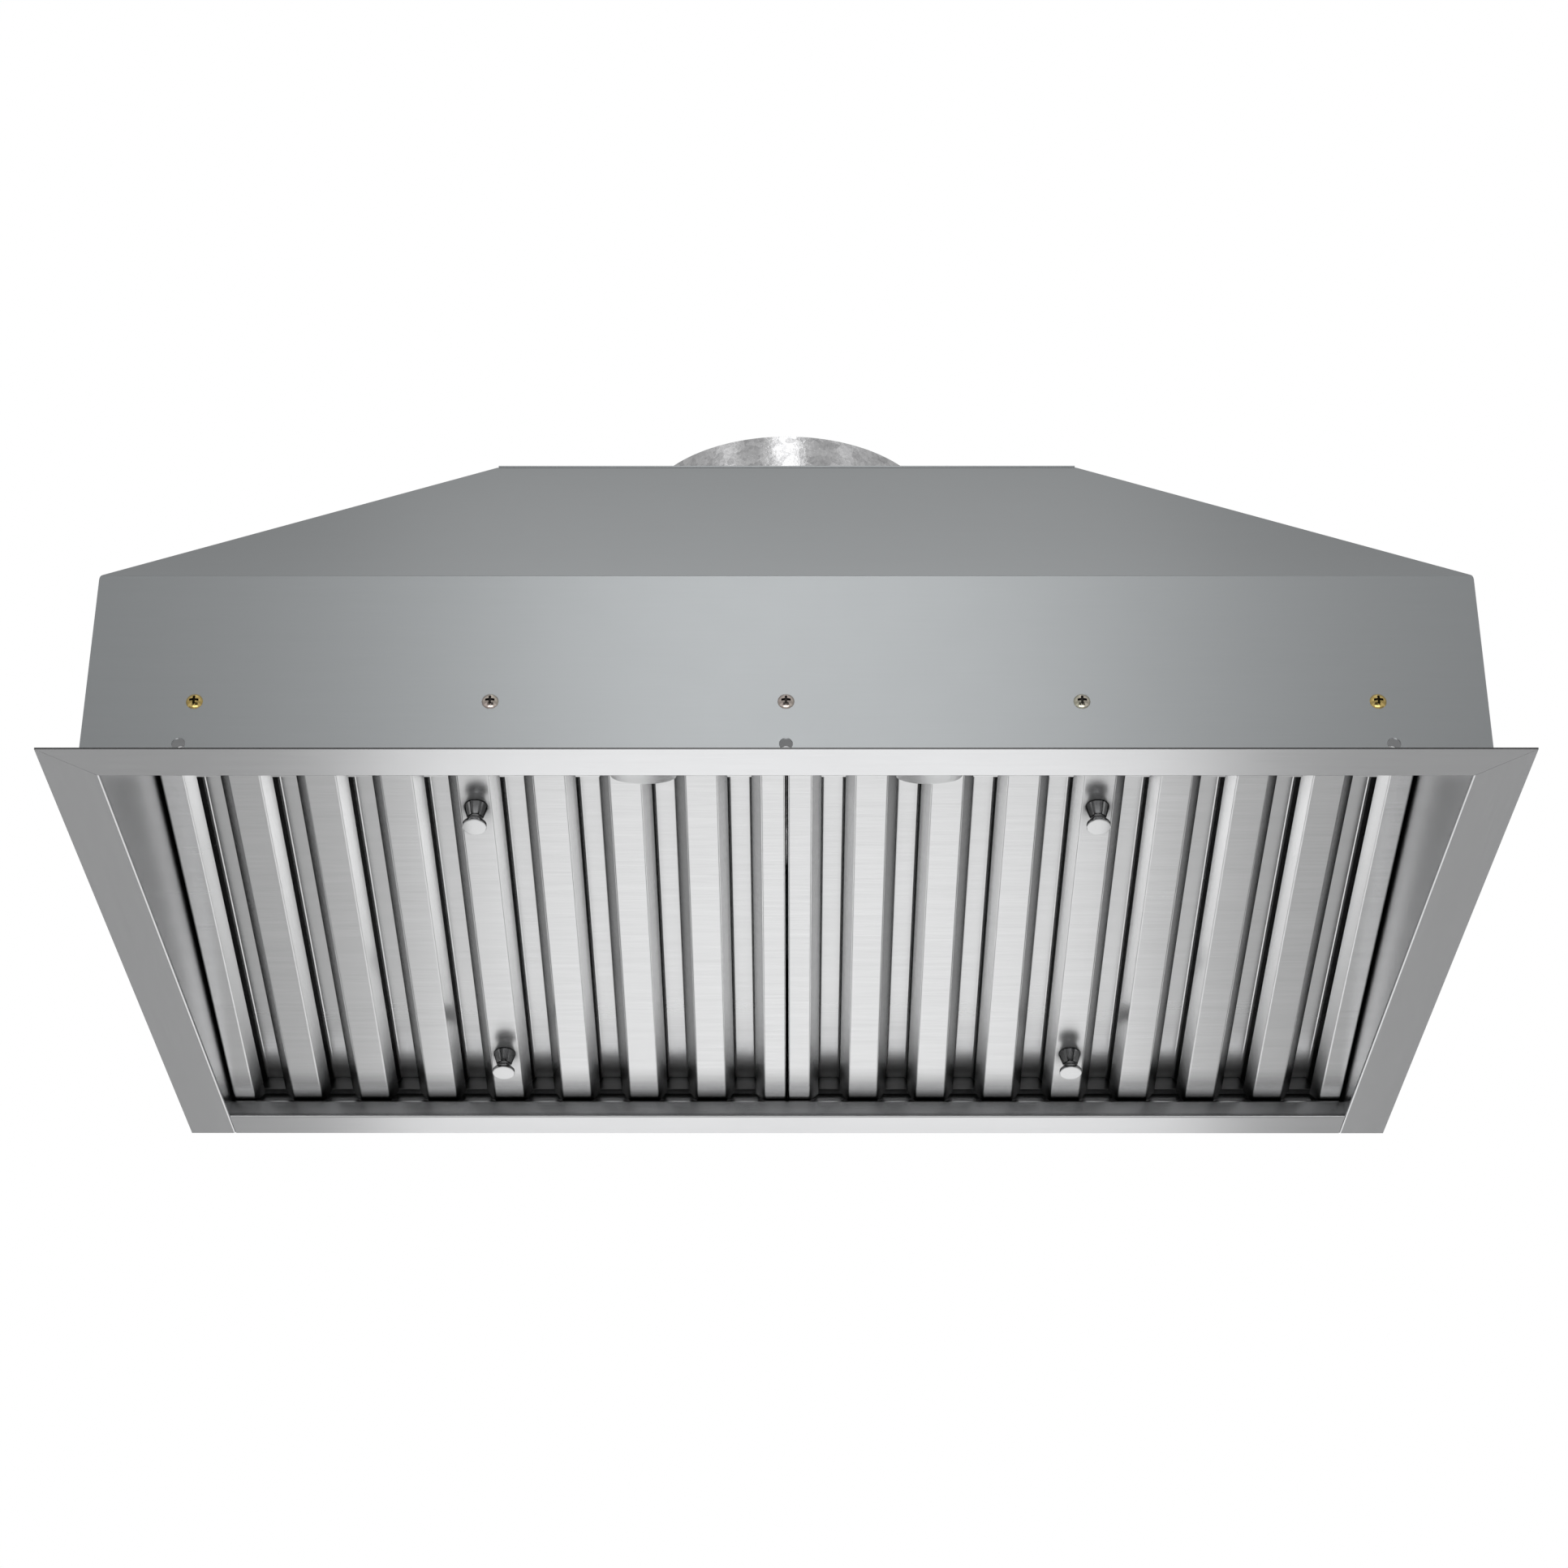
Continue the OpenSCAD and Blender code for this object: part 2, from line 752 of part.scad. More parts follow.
module terminal_block() {
    color(white_plastic)
        translate([gland_x, gland_y, under_top - box_z]) difference() {
            translate([-block_x / 2, -block_y / 2, 0]) cube([block_x, block_y, block_z]);
            for (i = [0:block_poles - 1])
                translate([block_x * ((i + 1 / 2) / block_poles - 1 / 2), 0, block_z / 2])
                    bar_y(block_hole_r, -block_y, block_y);
        }
}

gland_bore = 6.5;
gland_flange = 15;
gland_flange_t = 4;
gland_neck = 12;
gland_body = 14;
gland_thread = 12;
nut_t = 5;

module cable_gland() {
    color(black_plastic) translate([gland_x, gland_y, top_z]) difference() {
        union() {
            cylinder(r = gland_flange, h = gland_flange_t, $fn = 6);
            cylinder(r = gland_neck, h = gland_body);
            translate([0, 0, -gland_thread]) cylinder(r = gland_hole_r - running, h = gland_thread + sheet);
        }
        translate([0, 0, -2 * gland_thread]) cylinder(r = gland_bore, h = 4 * gland_thread);
    }
}

module gland_nut() {
    color(black_plastic) translate([gland_x, gland_y, under_top - box_t - nut_t]) difference() {
        cylinder(r = gland_flange, h = nut_t, $fn = 6);
        translate([0, 0, -nut_t]) cylinder(r = gland_hole_r, h = 3 * nut_t);
    }
}

// Wiring compartment behind the control panel
cover_z = return_top;

module wiring_cover() {
    front = sheet - body_y;
    color(steel) translate([-in_x, front, cover_z]) cube([2 * in_x, ridge_y - front, sheet]);
}

// Controls: a rotary switch behind the panel, its stem through the panel and a turned dial
switch_w = 30;
switch_h = 18;
thread_r = 5;
thread_down = 5.5;
stem_r = 3;
stem_in_dial = 11;
stem_down = dial_gap + stem_in_dial;
stem_up = 8;
panel_nut_r = 8;
panel_nut_t = 2.2;

module switch_body() {
    difference() {
        union() {
            translate([-switch_w / 2, -switch_w / 2, sheet]) cube([switch_w, switch_w, switch_h]);
            translate([0, 0, -thread_down]) cylinder(r = thread_r, h = thread_down + cut);
        }
        translate([0, 0, -2 * thread_down]) cylinder(r = stem_r + running, h = 2 * thread_down + stem_up);
    }
}

module fan_switch() {
    color(black_plastic) at_panel(-dial_x, control_s) switch_body();
}

module light_switch() {
    color(black_plastic) at_panel(dial_x, control_s) switch_body();
}

module switch_nuts() {
    color(zinc) for (side = [-1, 1])
        at_panel(side * dial_x, control_s) translate([0, 0, -panel_nut_t]) difference() {
            cylinder(r = panel_nut_r, h = panel_nut_t, $fn = 6);
            translate([0, 0, -panel_nut_t]) cylinder(r = thread_r, h = 3 * panel_nut_t);
        }
}

module stem() {
    translate([0, 0, -stem_down]) cylinder(r = stem_r, h = stem_down + stem_up - running);
}

module fan_stem() {
    color(chrome) at_panel(-dial_x, control_s) stem();
}

module light_stem() {
    color(chrome) at_panel(dial_x, control_s) stem();
}

dial_r = dial_d / 2;
dial_edge = 1.2;
dial_wall = 3;
dial_boss = 6;
dial_web = 9;
mark_w = 1.4;
mark_l = 9;
mark_deep = 0.5;

module dial() {
    low = -dial_gap - dial_h;
    difference() {
        rotate_extrude() polygon([[0, low], [dial_r - dial_edge, low], [dial_r, low + dial_edge],
            [dial_r, -dial_gap], [dial_r - dial_wall, -dial_gap],
            [dial_r - dial_wall, low + dial_h - dial_web], [dial_boss, low + dial_h - dial_web],
            [dial_boss, -thread_down - seat_gap], [0, -thread_down - seat_gap]]);
        translate([0, 0, -stem_down]) cylinder(r = stem_r, h = stem_down);
        translate([-mark_w / 2, dial_r - dial_edge - mark_l, low - mark_deep])
            cube([mark_w, mark_l, 2 * mark_deep]);
    }
}

module fan_dial() {
    color(chrome) at_panel(-dial_x, control_s) dial();
}

module light_dial() {
    color(chrome) at_panel(dial_x, control_s) dial();
}

// Lamps: a bezel under the panel, a lens in it and a lamp body above
bezel_t = 2;
lens_t = 2.4;
lamp_body_h = 24;
lamp_fin_h = 12;
lamp_fin_t = 2;
lamp_fins = 5;

module lamp_bezels() {
    color(chrome) for (side = [-1, 1])
        at_panel(side * lamp_x, control_s) rotate_extrude()
            polygon([[lens_r, -bezel_t], [bezel_r - bezel_t, -bezel_t], [bezel_r, 0],
                [lens_r + sheet, 0], [lens_r + sheet, sheet], [lens_r, sheet]]);
}

module lamp_lenses() {
    color(lens_white) for (side = [-1, 1])
        at_panel(side * lamp_x, control_s) translate([0, 0, sheet - lens_t])
            cylinder(r = lens_r, h = lens_t);
}

module lamp_bodies() {
    r = lamp_hole_r + 2 * sheet;
    color(dark_metal) for (side = [-1, 1])
        at_panel(side * lamp_x, control_s) translate([0, 0, sheet]) {
            cylinder(r = r, h = lamp_body_h - lamp_fin_h);
            intersection() {
                translate([0, 0, lamp_fin_h / 2]) cylinder(r = r, h = lamp_body_h - lamp_fin_h / 2);
                for (i = [0:lamp_fins - 1])
                    translate([r * (2 * (i + 1 / 2) / lamp_fins - 1) - lamp_fin_t / 2, -r, 0])
                        cube([lamp_fin_t, 2 * r, lamp_body_h]);
            }
        }
}

// Driver and capacitor on the back of the panel
driver_x = 96;
driver_y = 36;
driver_z = 22;

module lamp_driver() {
    color(white_plastic) at_panel(0, control_s)
        translate([-driver_x / 2, -driver_y / 2, sheet]) cube([driver_x, driver_y, driver_z]);
}

cap_r = 14;
cap_l = 62;
cap_x = 160;
cap_clip_w = 14;

module capacitor() {
    color(white_plastic) at_panel(cap_x, control_s) translate([0, 0, 2 * sheet + cap_r])
        bar_x(cap_r, -cap_l / 2, cap_l / 2);
}

module capacitor_clip() {
    color(galvanised) at_panel(cap_x, control_s) difference() {
        union() {
            translate([0, 0, 2 * sheet + cap_r]) bar_x(cap_r + sheet, -cap_clip_w / 2, cap_clip_w / 2);
            translate([-cap_clip_w / 2, -cap_r - 3 * cut, sheet])
                cube([cap_clip_w, 2 * cap_r + 6 * cut, sheet]);
        }
        translate([0, 0, 2 * sheet + cap_r]) bar_x(cap_r, -cap_l, cap_l);
    }
}

// Leaf springs on the turned-up edge that hold the filters' front ends
spring_t = 0.5;
spring_w = 16;
spring_out = 5.9;
spring_low = 7;
spring_high = 25;
spring_in = 110;

module filter_springs() {
    base = ridge_y;
    path = [[base, ridge_z + spring_high], [base, ridge_z + spring_high - 2 * spring_t],
        [base + spring_out, ridge_z + (spring_low + spring_high) / 2], [base, ridge_z + spring_low],
        [base, ridge_z + spring_low - 2 * spring_t]];
    color(steel) for (side = [-1, 1])
        for (end = [-1, 1])
            translate([side * filter_x + end * spring_in, 0, 0])
                along_x(spring_w) polygon(folded(path, spring_t));
}

// Filter pieces, in a frame whose Y runs down the filter from its front end
module side_rail() {
    low = filter_w / 2 - edge_flat;
    path = [[low - wing_w, wing_h], [low, 0], [filter_w / 2, 0], [filter_w / 2, filter_h],
        [filter_w / 2 - rail_top_lip, filter_h]];
    translate([0, filter_l / 2, 0]) along_y(filter_l) polygon(folded(bent(path, rib_bend), filter_t));
}

module end_rail(lip) {
    path = [[lip, wing_h], [0, wing_h], [0, filter_h], [rail_top_lip, filter_h]];
    along_x(filter_w - filter_t) polygon(folded(path, -filter_t));
}

module filter_frame(side) {
    color(steel) at_filter(side) union() {
        side_rail();
        mirror([1, 0, 0]) side_rail();
        end_rail(front_rail_lip);
        translate([0, filter_l, 0]) mirror([0, 1, 0]) end_rail(rear_rail_lip);
    }
}

module filter_ribs(side) {
    path = [[-rib_w / 2, wing_h], [-rib_flat / 2, 0], [rib_flat / 2, 0], [rib_w / 2, wing_h]];
    color(steel) at_filter(side) for (i = [0:rib_count - 1]) {
        middle = i == (rib_count - 1) / 2;
        translate([(i - (rib_count - 1) / 2) * rib_pitch, 0, 0]) difference() {
            intersection() {
                translate([0, filter_l / 2, 0])
                    along_y(filter_l) polygon(folded(bent(path, rib_bend), filter_t));
                linear_extrude(height = wing_h)
                    polygon([[rib_corner - rib_w / 2, 0], [rib_w / 2 - rib_corner, 0],
                        [rib_w / 2, rib_corner], [rib_w / 2, filter_l - rib_corner],
                        [rib_w / 2 - rib_corner, filter_l], [rib_corner - rib_w / 2, filter_l],
                        [-rib_w / 2, filter_l - rib_corner], [-rib_w / 2, rib_corner]]);
            }
            if (middle)
                knob_places() translate([0, 0, -filter_t]) cylinder(r = knob_hole_r, h = 3 * filter_t);
        }
    }
}

module filter_baffles(side) {
    low_z = baffle_low;
    flat_z = baffle_top - filter_t;
    path = [[-baffle_w / 2, low_z], [-baffle_flat / 2, flat_z], [baffle_flat / 2, flat_z],
        [baffle_w / 2, low_z]];
    color(steel) at_filter(side) for (i = [0:rib_count])
        translate([(i - rib_count / 2) * rib_pitch, filter_l / 2, 0])
            along_y(filter_l - 2 * filter_t) polygon(folded(bent(path, rib_bend), filter_t));
}

// Hourglass knobs on the middle rib, each held by a screw from inside the rib
knob_base_r = 7.6;
knob_neck_r = 3.8;
knob_head_h = 3.4;
knob_hole_r = 2.1;
knob_screw_r = 2;
knob_screw_l = 8;
knob_screw_head = 3.6;
knob_screw_h = 2;
knob_round = 0.8;
knob_steps = 8;
knob_waist_share = 0.6;
knob_flare = 1.7;

module knob_places() {
    translate([0, knob_front_in, 0]) children();
    translate([0, filter_l - knob_rear_in, 0]) children();
}

module filter_knob() {
    neck_l = knob_l - knob_head_h;
    waist = [for (k = [0:knob_steps])
        let (f = k / knob_steps, w = knob_waist_share)
        let (big = f < w ? knob_base_r : knob_head_r - knob_round)
        let (away = f < w ? 1 - f / w : (f - w) / (1 - w))
        [knob_neck_r + (big - knob_neck_r) * pow(away, knob_flare), -neck_l * f]];
    difference() {
        rotate_extrude() polygon(concat([[0, 0]], waist,
            [[knob_head_r, -neck_l - knob_round], [knob_head_r, knob_round - knob_l],
                [knob_head_r - knob_round, -knob_l], [0, -knob_l]]));
        translate([0, 0, -knob_screw_l]) cylinder(r = knob_screw_r, h = 2 * knob_screw_l);
    }
}

module filter_knobs(side) {
    color(chrome) at_filter(side) knob_places() filter_knob();
}

module knob_screws(side) {
    color(zinc) at_filter(side) knob_places() translate([0, 0, filter_t])
        pan_screw(knob_screw_l + filter_t, knob_screw_r, knob_screw_head, knob_screw_h);
}

liner_front();
liner_rear();
liner_left();
liner_right();
shell_front();
shell_rear();
shell_left();
shell_right();
top_plate();
rail_front();
rail_left();
rail_right();
shell_screws();
control_panel();
wiring_cover();
duct_collar();
collar_screws();
damper_rod();
damper_flap_front();
damper_flap_rear();
outlet_flange();
scroll_wrap();
scroll_cheek_left();
scroll_cheek_right();
inlet_rings();
blower_wheel();
motor();
motor_shaft();
motor_bracket();
motor_screws();
junction_box();
junction_lid();
terminal_block();
cable_gland();
gland_nut();
capacitor();
capacitor_clip();
lamp_driver();
lamp_bezels();
lamp_lenses();
lamp_bodies();
fan_switch();
light_switch();
switch_nuts();
fan_dial();
fan_stem();
light_dial();
light_stem();
filter_springs();
filter_frame(-1);  // filter_frame_left
filter_ribs(-1);  // filter_ribs_left
filter_baffles(-1);  // filter_baffles_left
filter_knobs(-1);  // filter_knobs_left
knob_screws(-1);  // knob_screws_left
filter_frame(1);  // filter_frame_right
filter_ribs(1);  // filter_ribs_right
filter_baffles(1);  // filter_baffles_right
filter_knobs(1);  // filter_knobs_right
knob_screws(1);  // knob_screws_right
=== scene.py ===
import json
import math
import bmesh
import bpy
from mathutils import Matrix, Vector


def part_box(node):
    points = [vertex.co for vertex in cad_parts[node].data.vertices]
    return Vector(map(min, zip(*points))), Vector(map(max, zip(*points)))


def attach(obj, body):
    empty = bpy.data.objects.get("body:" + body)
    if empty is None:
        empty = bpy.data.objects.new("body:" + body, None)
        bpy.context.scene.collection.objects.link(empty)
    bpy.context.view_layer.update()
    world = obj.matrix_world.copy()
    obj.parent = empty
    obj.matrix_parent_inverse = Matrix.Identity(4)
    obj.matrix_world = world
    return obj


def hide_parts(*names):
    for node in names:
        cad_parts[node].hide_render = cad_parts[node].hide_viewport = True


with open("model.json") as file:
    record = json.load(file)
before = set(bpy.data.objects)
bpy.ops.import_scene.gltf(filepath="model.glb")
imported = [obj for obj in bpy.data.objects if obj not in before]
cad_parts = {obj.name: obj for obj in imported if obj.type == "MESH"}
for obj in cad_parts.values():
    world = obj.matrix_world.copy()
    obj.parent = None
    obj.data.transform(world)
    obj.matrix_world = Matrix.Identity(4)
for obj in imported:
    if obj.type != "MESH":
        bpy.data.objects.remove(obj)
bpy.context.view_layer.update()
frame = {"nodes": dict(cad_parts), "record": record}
print("frame loaded", len(frame["nodes"]), "nodes")

mm = 0.001
deepAxis, upAxis = Vector((0, 1, 0)), Vector((0, 0, 1))

# Filters: tilt and thickness are the CAD's, lengths and places are worked out from its boxes
filterShape = {"tilt": 10.9, "thick": 22 * mm, "lipTop": 19.6 * mm, "lipFade": 1.2 * mm,
               "frontKnob": 37 * mm, "rearKnob": 59 * mm}
frameLow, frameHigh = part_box("filter_frame_right")
tiltAngle = math.radians(filterShape["tilt"])
filterLong = (frameHigh.y - frameLow.y - filterShape["thick"] * math.sin(tiltAngle)) / math.cos(tiltAngle)
filterMiddle = (frameLow.x + frameHigh.x) / 2
filterFront = Vector((0, frameLow.y, frameHigh.z - filterShape["thick"] * math.cos(tiltAngle)))
filterTurn = Matrix.Rotation(-tiltAngle, 4, "X")
filterUp, filterAlong = filterTurn @ upAxis, filterTurn @ deepAxis
ribPoints = [corner.co - filterFront for corner in frame["nodes"]["filter_ribs_right"].data.vertices]
ribEnd = max(point.dot(filterAlong) for point in ribPoints)
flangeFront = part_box("liner_front")[0].y
print("filters measured,", round(filterLong / mm, 1), "mm long, ribs to", round(ribEnd / mm, 1), "mm")


# A shader socket that can stand in a sum
class Wire:
    def __init__(self, tree, socket):
        self.tree = tree
        self.socket = socket

    def combined(self, operation, first, second=None):
        node = self.tree.nodes.new("ShaderNodeMath")
        node.operation = operation
        for place, value in enumerate((first, second)):
            if isinstance(value, Wire):
                self.tree.links.new(value.socket, node.inputs[place])
            elif value is not None:
                node.inputs[place].default_value = value
        return Wire(self.tree, node.outputs[0])

    def __add__(self, other):
        return self.combined("ADD", self, other)

    def __radd__(self, other):
        return self.combined("ADD", other, self)

    def __sub__(self, other):
        return self.combined("SUBTRACT", self, other)

    def __rsub__(self, other):
        return self.combined("SUBTRACT", other, self)

    def __mul__(self, other):
        return self.combined("MULTIPLY", self, other)

    def __rmul__(self, other):
        return self.combined("MULTIPLY", other, self)

    def __truediv__(self, other):
        return self.combined("DIVIDE", self, other)

    def __rtruediv__(self, other):
        return self.combined("DIVIDE", other, self)

    def __pow__(self, other):
        return self.combined("POWER", self, other)

    def __rpow__(self, other):
        return self.combined("POWER", other, self)

    def __neg__(self):
        return self.combined("MULTIPLY", self, -1)

    def __abs__(self):
        return self.combined("ABSOLUTE", self)


def larger(first, second):
    return first.combined("MAXIMUM", first, second)


def smaller(first, second):
    return first.combined("MINIMUM", first, second)


def blend(first, second, share):
    return first * share + second * (1 - share)


def dimmed(tone, share):
    return tuple(part * share for part in tone)


mixSockets = {"amount": 0, "first": 6, "second": 7, "out": 2}  # of a Mix node set to colours
cornerShadeSamples = 10
darkStop, brightStop = 0.3, 0.7


# One node tree; put() adds any node that is not plain maths
class Finish:
    def __init__(self, tree):
        self.tree = tree
        tree.nodes.clear()

    def put(self, kind, settings=None, sockets=None, out=0):
        node = self.tree.nodes.new(kind if "Node" in kind else "ShaderNode" + kind)
        for key, value in (settings or {}).items():
            if key == "stops":
                self.setStops(node.color_ramp, value)
            else:
                setattr(node, key, value)
        for key, value in (sockets or {}).items():
            if isinstance(value, Wire):
                self.tree.links.new(value.socket, node.inputs[key])
            else:
                node.inputs[key].default_value = value
        return Wire(self.tree, node.outputs[out]) if len(node.outputs) else None

    def setStops(self, ramp, stops):
        while len(ramp.elements) < len(stops):
            ramp.elements.new(0.5)
        for element, (place, shade) in zip(ramp.elements, stops):
            element.position = place
            element.color = (*shade, 1) if isinstance(shade, tuple) else (shade, shade, shade, 1)

    def tint(self, amount, first, second):
        sockets = {mixSockets["amount"]: amount}
        for key, colour in (("first", first), ("second", second)):
            sockets[mixSockets[key]] = (*colour, 1) if isinstance(colour, tuple) else colour
        return self.put("Mix", {"data_type": "RGBA"}, sockets, mixSockets["out"])

    def vector(self, operation, first, second=None, out=0):
        sockets = {0: first}
        if second is not None:
            sockets[1] = second
        return self.put("VectorMath", {"operation": operation}, sockets, out)

    # How far a place lies along a direction
    def along(self, place, direction):
        return self.vector("DOT_PRODUCT", place, tuple(direction), "Value")

    def part(self, vector, axis):
        return self.put("SeparateXYZ", None, {0: vector}, "XYZ".index(axis))

    # How much the surface faces along an axis
    def facing(self, axis):
        return self.part(self.put("NewGeometry", out="Normal"), axis)

    def noise(self, place, scale, detail=2.0, rough=0.5):
        sockets = {"Vector": place, "Scale": scale, "Detail": detail, "Roughness": rough}
        return self.put("TexNoise", None, sockets)

    def ramp(self, value, stops):
        return self.put("ValToRGB", {"stops": stops}, {"Fac": value})

    def clamped(self, value):
        return self.ramp(value, [(0.0, 0.0), (1.0, 1.0)])

    # From one colour to another over the middle of a noise
    def toned(self, value, dark, bright):
        return self.ramp(value, [(darkStop, dark), (brightStop, bright)])

    def masked(self, shade, value, stops):
        return self.vector("MULTIPLY", shade, self.ramp(value, stops))

    # How far a place is from the nearest of a row of points one pitch apart
    def fromRow(self, value, pitch):
        turns = value / pitch + 0.5
        return abs(turns.combined("FRACT", turns) - 0.5) * pitch

    # Painted shade: darker where the surface looks into a corner or a slot, found by ambient occlusion
    def cornerShaded(self, shade, look):
        sky = self.put("AmbientOcclusion", {"samples": cornerShadeSamples}, {"Distance": look["reach"]}, "AO")
        return self.masked(shade, sky, [(look["shut"], look["deep"]), (look["open"], 1.0)])

    def bumped(self, height, strength, deep, under=None):
        sockets = {"Strength": strength, "Distance": deep, "Height": height}
        if under is not None:
            sockets["Normal"] = under
        return self.put("Bump", None, sockets)

    def surface(self, sockets):
        self.put("OutputMaterial", None, {"Surface": self.put("BsdfPrincipled", None, sockets)})


def newMaterial(name):
    material = bpy.data.materials.new(name)
    material.use_nodes = True
    return material, Finish(material.node_tree)


# Painted shade where corners darken, found by ambient occlusion: a narrow seam, a folded tray, the filters'
# edges, their deep slots, a screw's cross
seam = {"reach": 3 * mm, "shut": 0.2, "open": 0.6, "deep": 0.25}
tray = {"reach": 8 * mm, "shut": 0.2, "open": 0.7, "deep": 0.7}
edge = {"reach": 6 * mm, "shut": 0.3, "open": 0.85, "deep": 0.2}
slot = {"reach": 34 * mm, "shut": 0.5, "open": 0.95, "deep": 0.05}
cross = {"reach": 1.2 * mm, "shut": 0.3, "open": 0.7, "deep": 0.3}

# What every sheet shares: noises in waves per metre, shares of a mix, lengths
sheetGrain = {"along": 30, "across": 1000, "coarser": 5, "fineShare": 0.6, "handling": 38.0,
              "cloudShare": 0.6, "markFrom": 0.4, "markTo": 0.68, "markTone": 0.82, "markRough": 0.01,
              "cloudRough": 0.03, "grainDeep": 0.4 * mm, "rippleDeep": 4 * mm, "rimFade": 0.3 * mm,
              "hem": 2 * mm}


# Where a place lies on the filters or on the flange, as a value for a ramp
def aboveLips(finish, place):
    rise = finish.along(place, filterUp) - filterUp.dot(filterFront)
    return (rise - (filterShape["lipTop"] - filterShape["lipFade"])) / filterShape["lipFade"]


def beforeEnds(finish, place, long):
    left = ribEnd - finish.along(place, filterAlong)
    return (left + filterAlong.dot(filterFront)) / long


def behindRim(finish, place):
    return (finish.part(place, "Y") - flangeFront) / sheetGrain["rimFade"]


# Painted light and shade over a sheet's shape, then its painted corner shade: each mask in a look holds the
# stops of its own ramp
def paintedShading(finish, place, shade, look):
    if "lips" in look:  # painted shade: the baffles' lower edges darkened almost to black
        shade = finish.masked(shade, aboveLips(finish, place), look["lips"])
    if "ends" in look:  # painted shade toward the filters' rear ends, and on the baffles a painted highlight just before them
        shade = finish.masked(shade, beforeEnds(finish, place, look["endLong"]), look["ends"])
    if "rim" in look:  # painted shade: the flange's cut front edge darkened
        shade = finish.masked(shade, behindRim(finish, place), look["rim"])
    if "climb" in look:  # painted light and shade from the flange upward: the rear wall lighter, the side walls and the shell's top darker
        shade = finish.masked(shade, finish.part(place, "Z") / look["rise"], look["climb"])
    if "outward" in look:  # painted shade on slopes that face away from the middle
        shade = finish.masked(shade, finish.facing("X") * finish.part(place, "X"), look["outward"])
    if "sides" in look:  # painted shade on the frames' flanks
        shade = finish.masked(shade, abs(finish.facing("X")), look["sides"])
    if "hem" in look:  # painted shade where the two frames meet
        shade = finish.masked(shade, abs(finish.part(place, "X")) / sheetGrain["hem"], look["hem"])
    return finish.cornerShaded(shade, look["cornerShade"])


# Painted light: the hidden wall glows faintly where it shows through the mounting holes
def paintedHoleGlow(finish, place, shade, stops):
    away = finish.ramp(-finish.facing("Y"), stops)
    inside = finish.ramp(behindRim(finish, place), [(0.99, 0.0), (1.0, 1.0)])
    return finish.vector("MULTIPLY", shade, away * inside)


# Sheet steel with a grain along one axis, faint handling marks and a slow ripple in the sheet, with painted
# light and shade over its shape
def grainedSteel(name, look):
    material, finish = newMaterial(name)
    place = finish.put("TexCoord", out="Object")
    waves = [sheetGrain["along" if axis == look["grain"] else "across"] for axis in "xyz"]
    coarseWaves = [value / sheetGrain["coarser"] for value in waves]
    fine = finish.noise(finish.vector("MULTIPLY", place, tuple(waves)), 1.0)
    coarse = finish.noise(finish.vector("MULTIPLY", place, tuple(coarseWaves)), 1.0)
    grain = blend(fine, coarse, sheetGrain["fineShare"])
    cloud = finish.noise(place, look["cloud"], detail=3.0, rough=0.55)
    handled = finish.noise(place, sheetGrain["handling"], detail=4.0, rough=0.7)
    marks = finish.ramp(blend(cloud, handled, sheetGrain["cloudShare"]),
                        [(sheetGrain["markFrom"], 0.0), (sheetGrain["markTo"], 1.0)])
    shade = finish.toned(grain, dimmed(look["tone"], look["low"]), look["tone"])
    shade = finish.tint(marks * look["marks"], shade, dimmed(look["tone"], sheetGrain["markTone"]))
    shade = paintedShading(finish, place, shade, look)
    middleRough = look["rough"] - look["spread"] / 2 - sheetGrain["cloudRough"] / 2
    rough = grain * look["spread"] + cloud * sheetGrain["cloudRough"] + marks * sheetGrain["markRough"]
    rough = rough + middleRough
    if "blur" in look:
        rough = rough + finish.ramp(beforeEnds(finish, place, look["endLong"]), look["blur"])
    bump = finish.bumped(grain, look["bump"], sheetGrain["grainDeep"])
    bump = finish.bumped(cloud, look["ripple"], sheetGrain["rippleDeep"], bump)
    sockets = {"Base Color": shade, "Metallic": 1.0, "Roughness": rough, "Normal": bump}
    # painted light: a faint glow behind the mounting holes
    if "behind" in look:
        sockets["Emission Color"] = paintedHoleGlow(finish, place, shade, look["behind"])
        sockets["Emission Strength"] = 1.0
    finish.surface(sockets)
    return material


# Stops of the painted shade toward the rear ends of the ribs and the frames, and of the baffles' ends, a
# little darker at the very end and lit by a painted highlight before it: (place, share)
ribEndShade = [(0.0, 0.005), (0.2, 0.16), (0.4, 0.49), (0.6, 0.72), (0.8, 0.87), (1.0, 1.0)]
frameEndShade = [(0.0, 0.3), (0.2, 0.3), *ribEndShade[2:]]
baffleEndLightAndShade = [(0.0, 0.85), (0.1, 1.0), (0.15, 1.25), (0.3, 1.25), (0.4, 1.0)]
sheetBase = {"grain": "x", "cloud": 7.0, "marks": 0.06, "bump": 0.01, "ripple": 0.03}
linerBase = {**sheetBase, "tone": (0.56, 0.563, 0.57), "low": 0.93, "rough": 0.24, "spread": 0.05,
             "cornerShade": tray}
filterBase = {**sheetBase, "tone": (0.68, 0.683, 0.687), "low": 0.885, "rough": 0.25, "spread": 0.06,
              "bump": 0.012, "marks": 0.03}
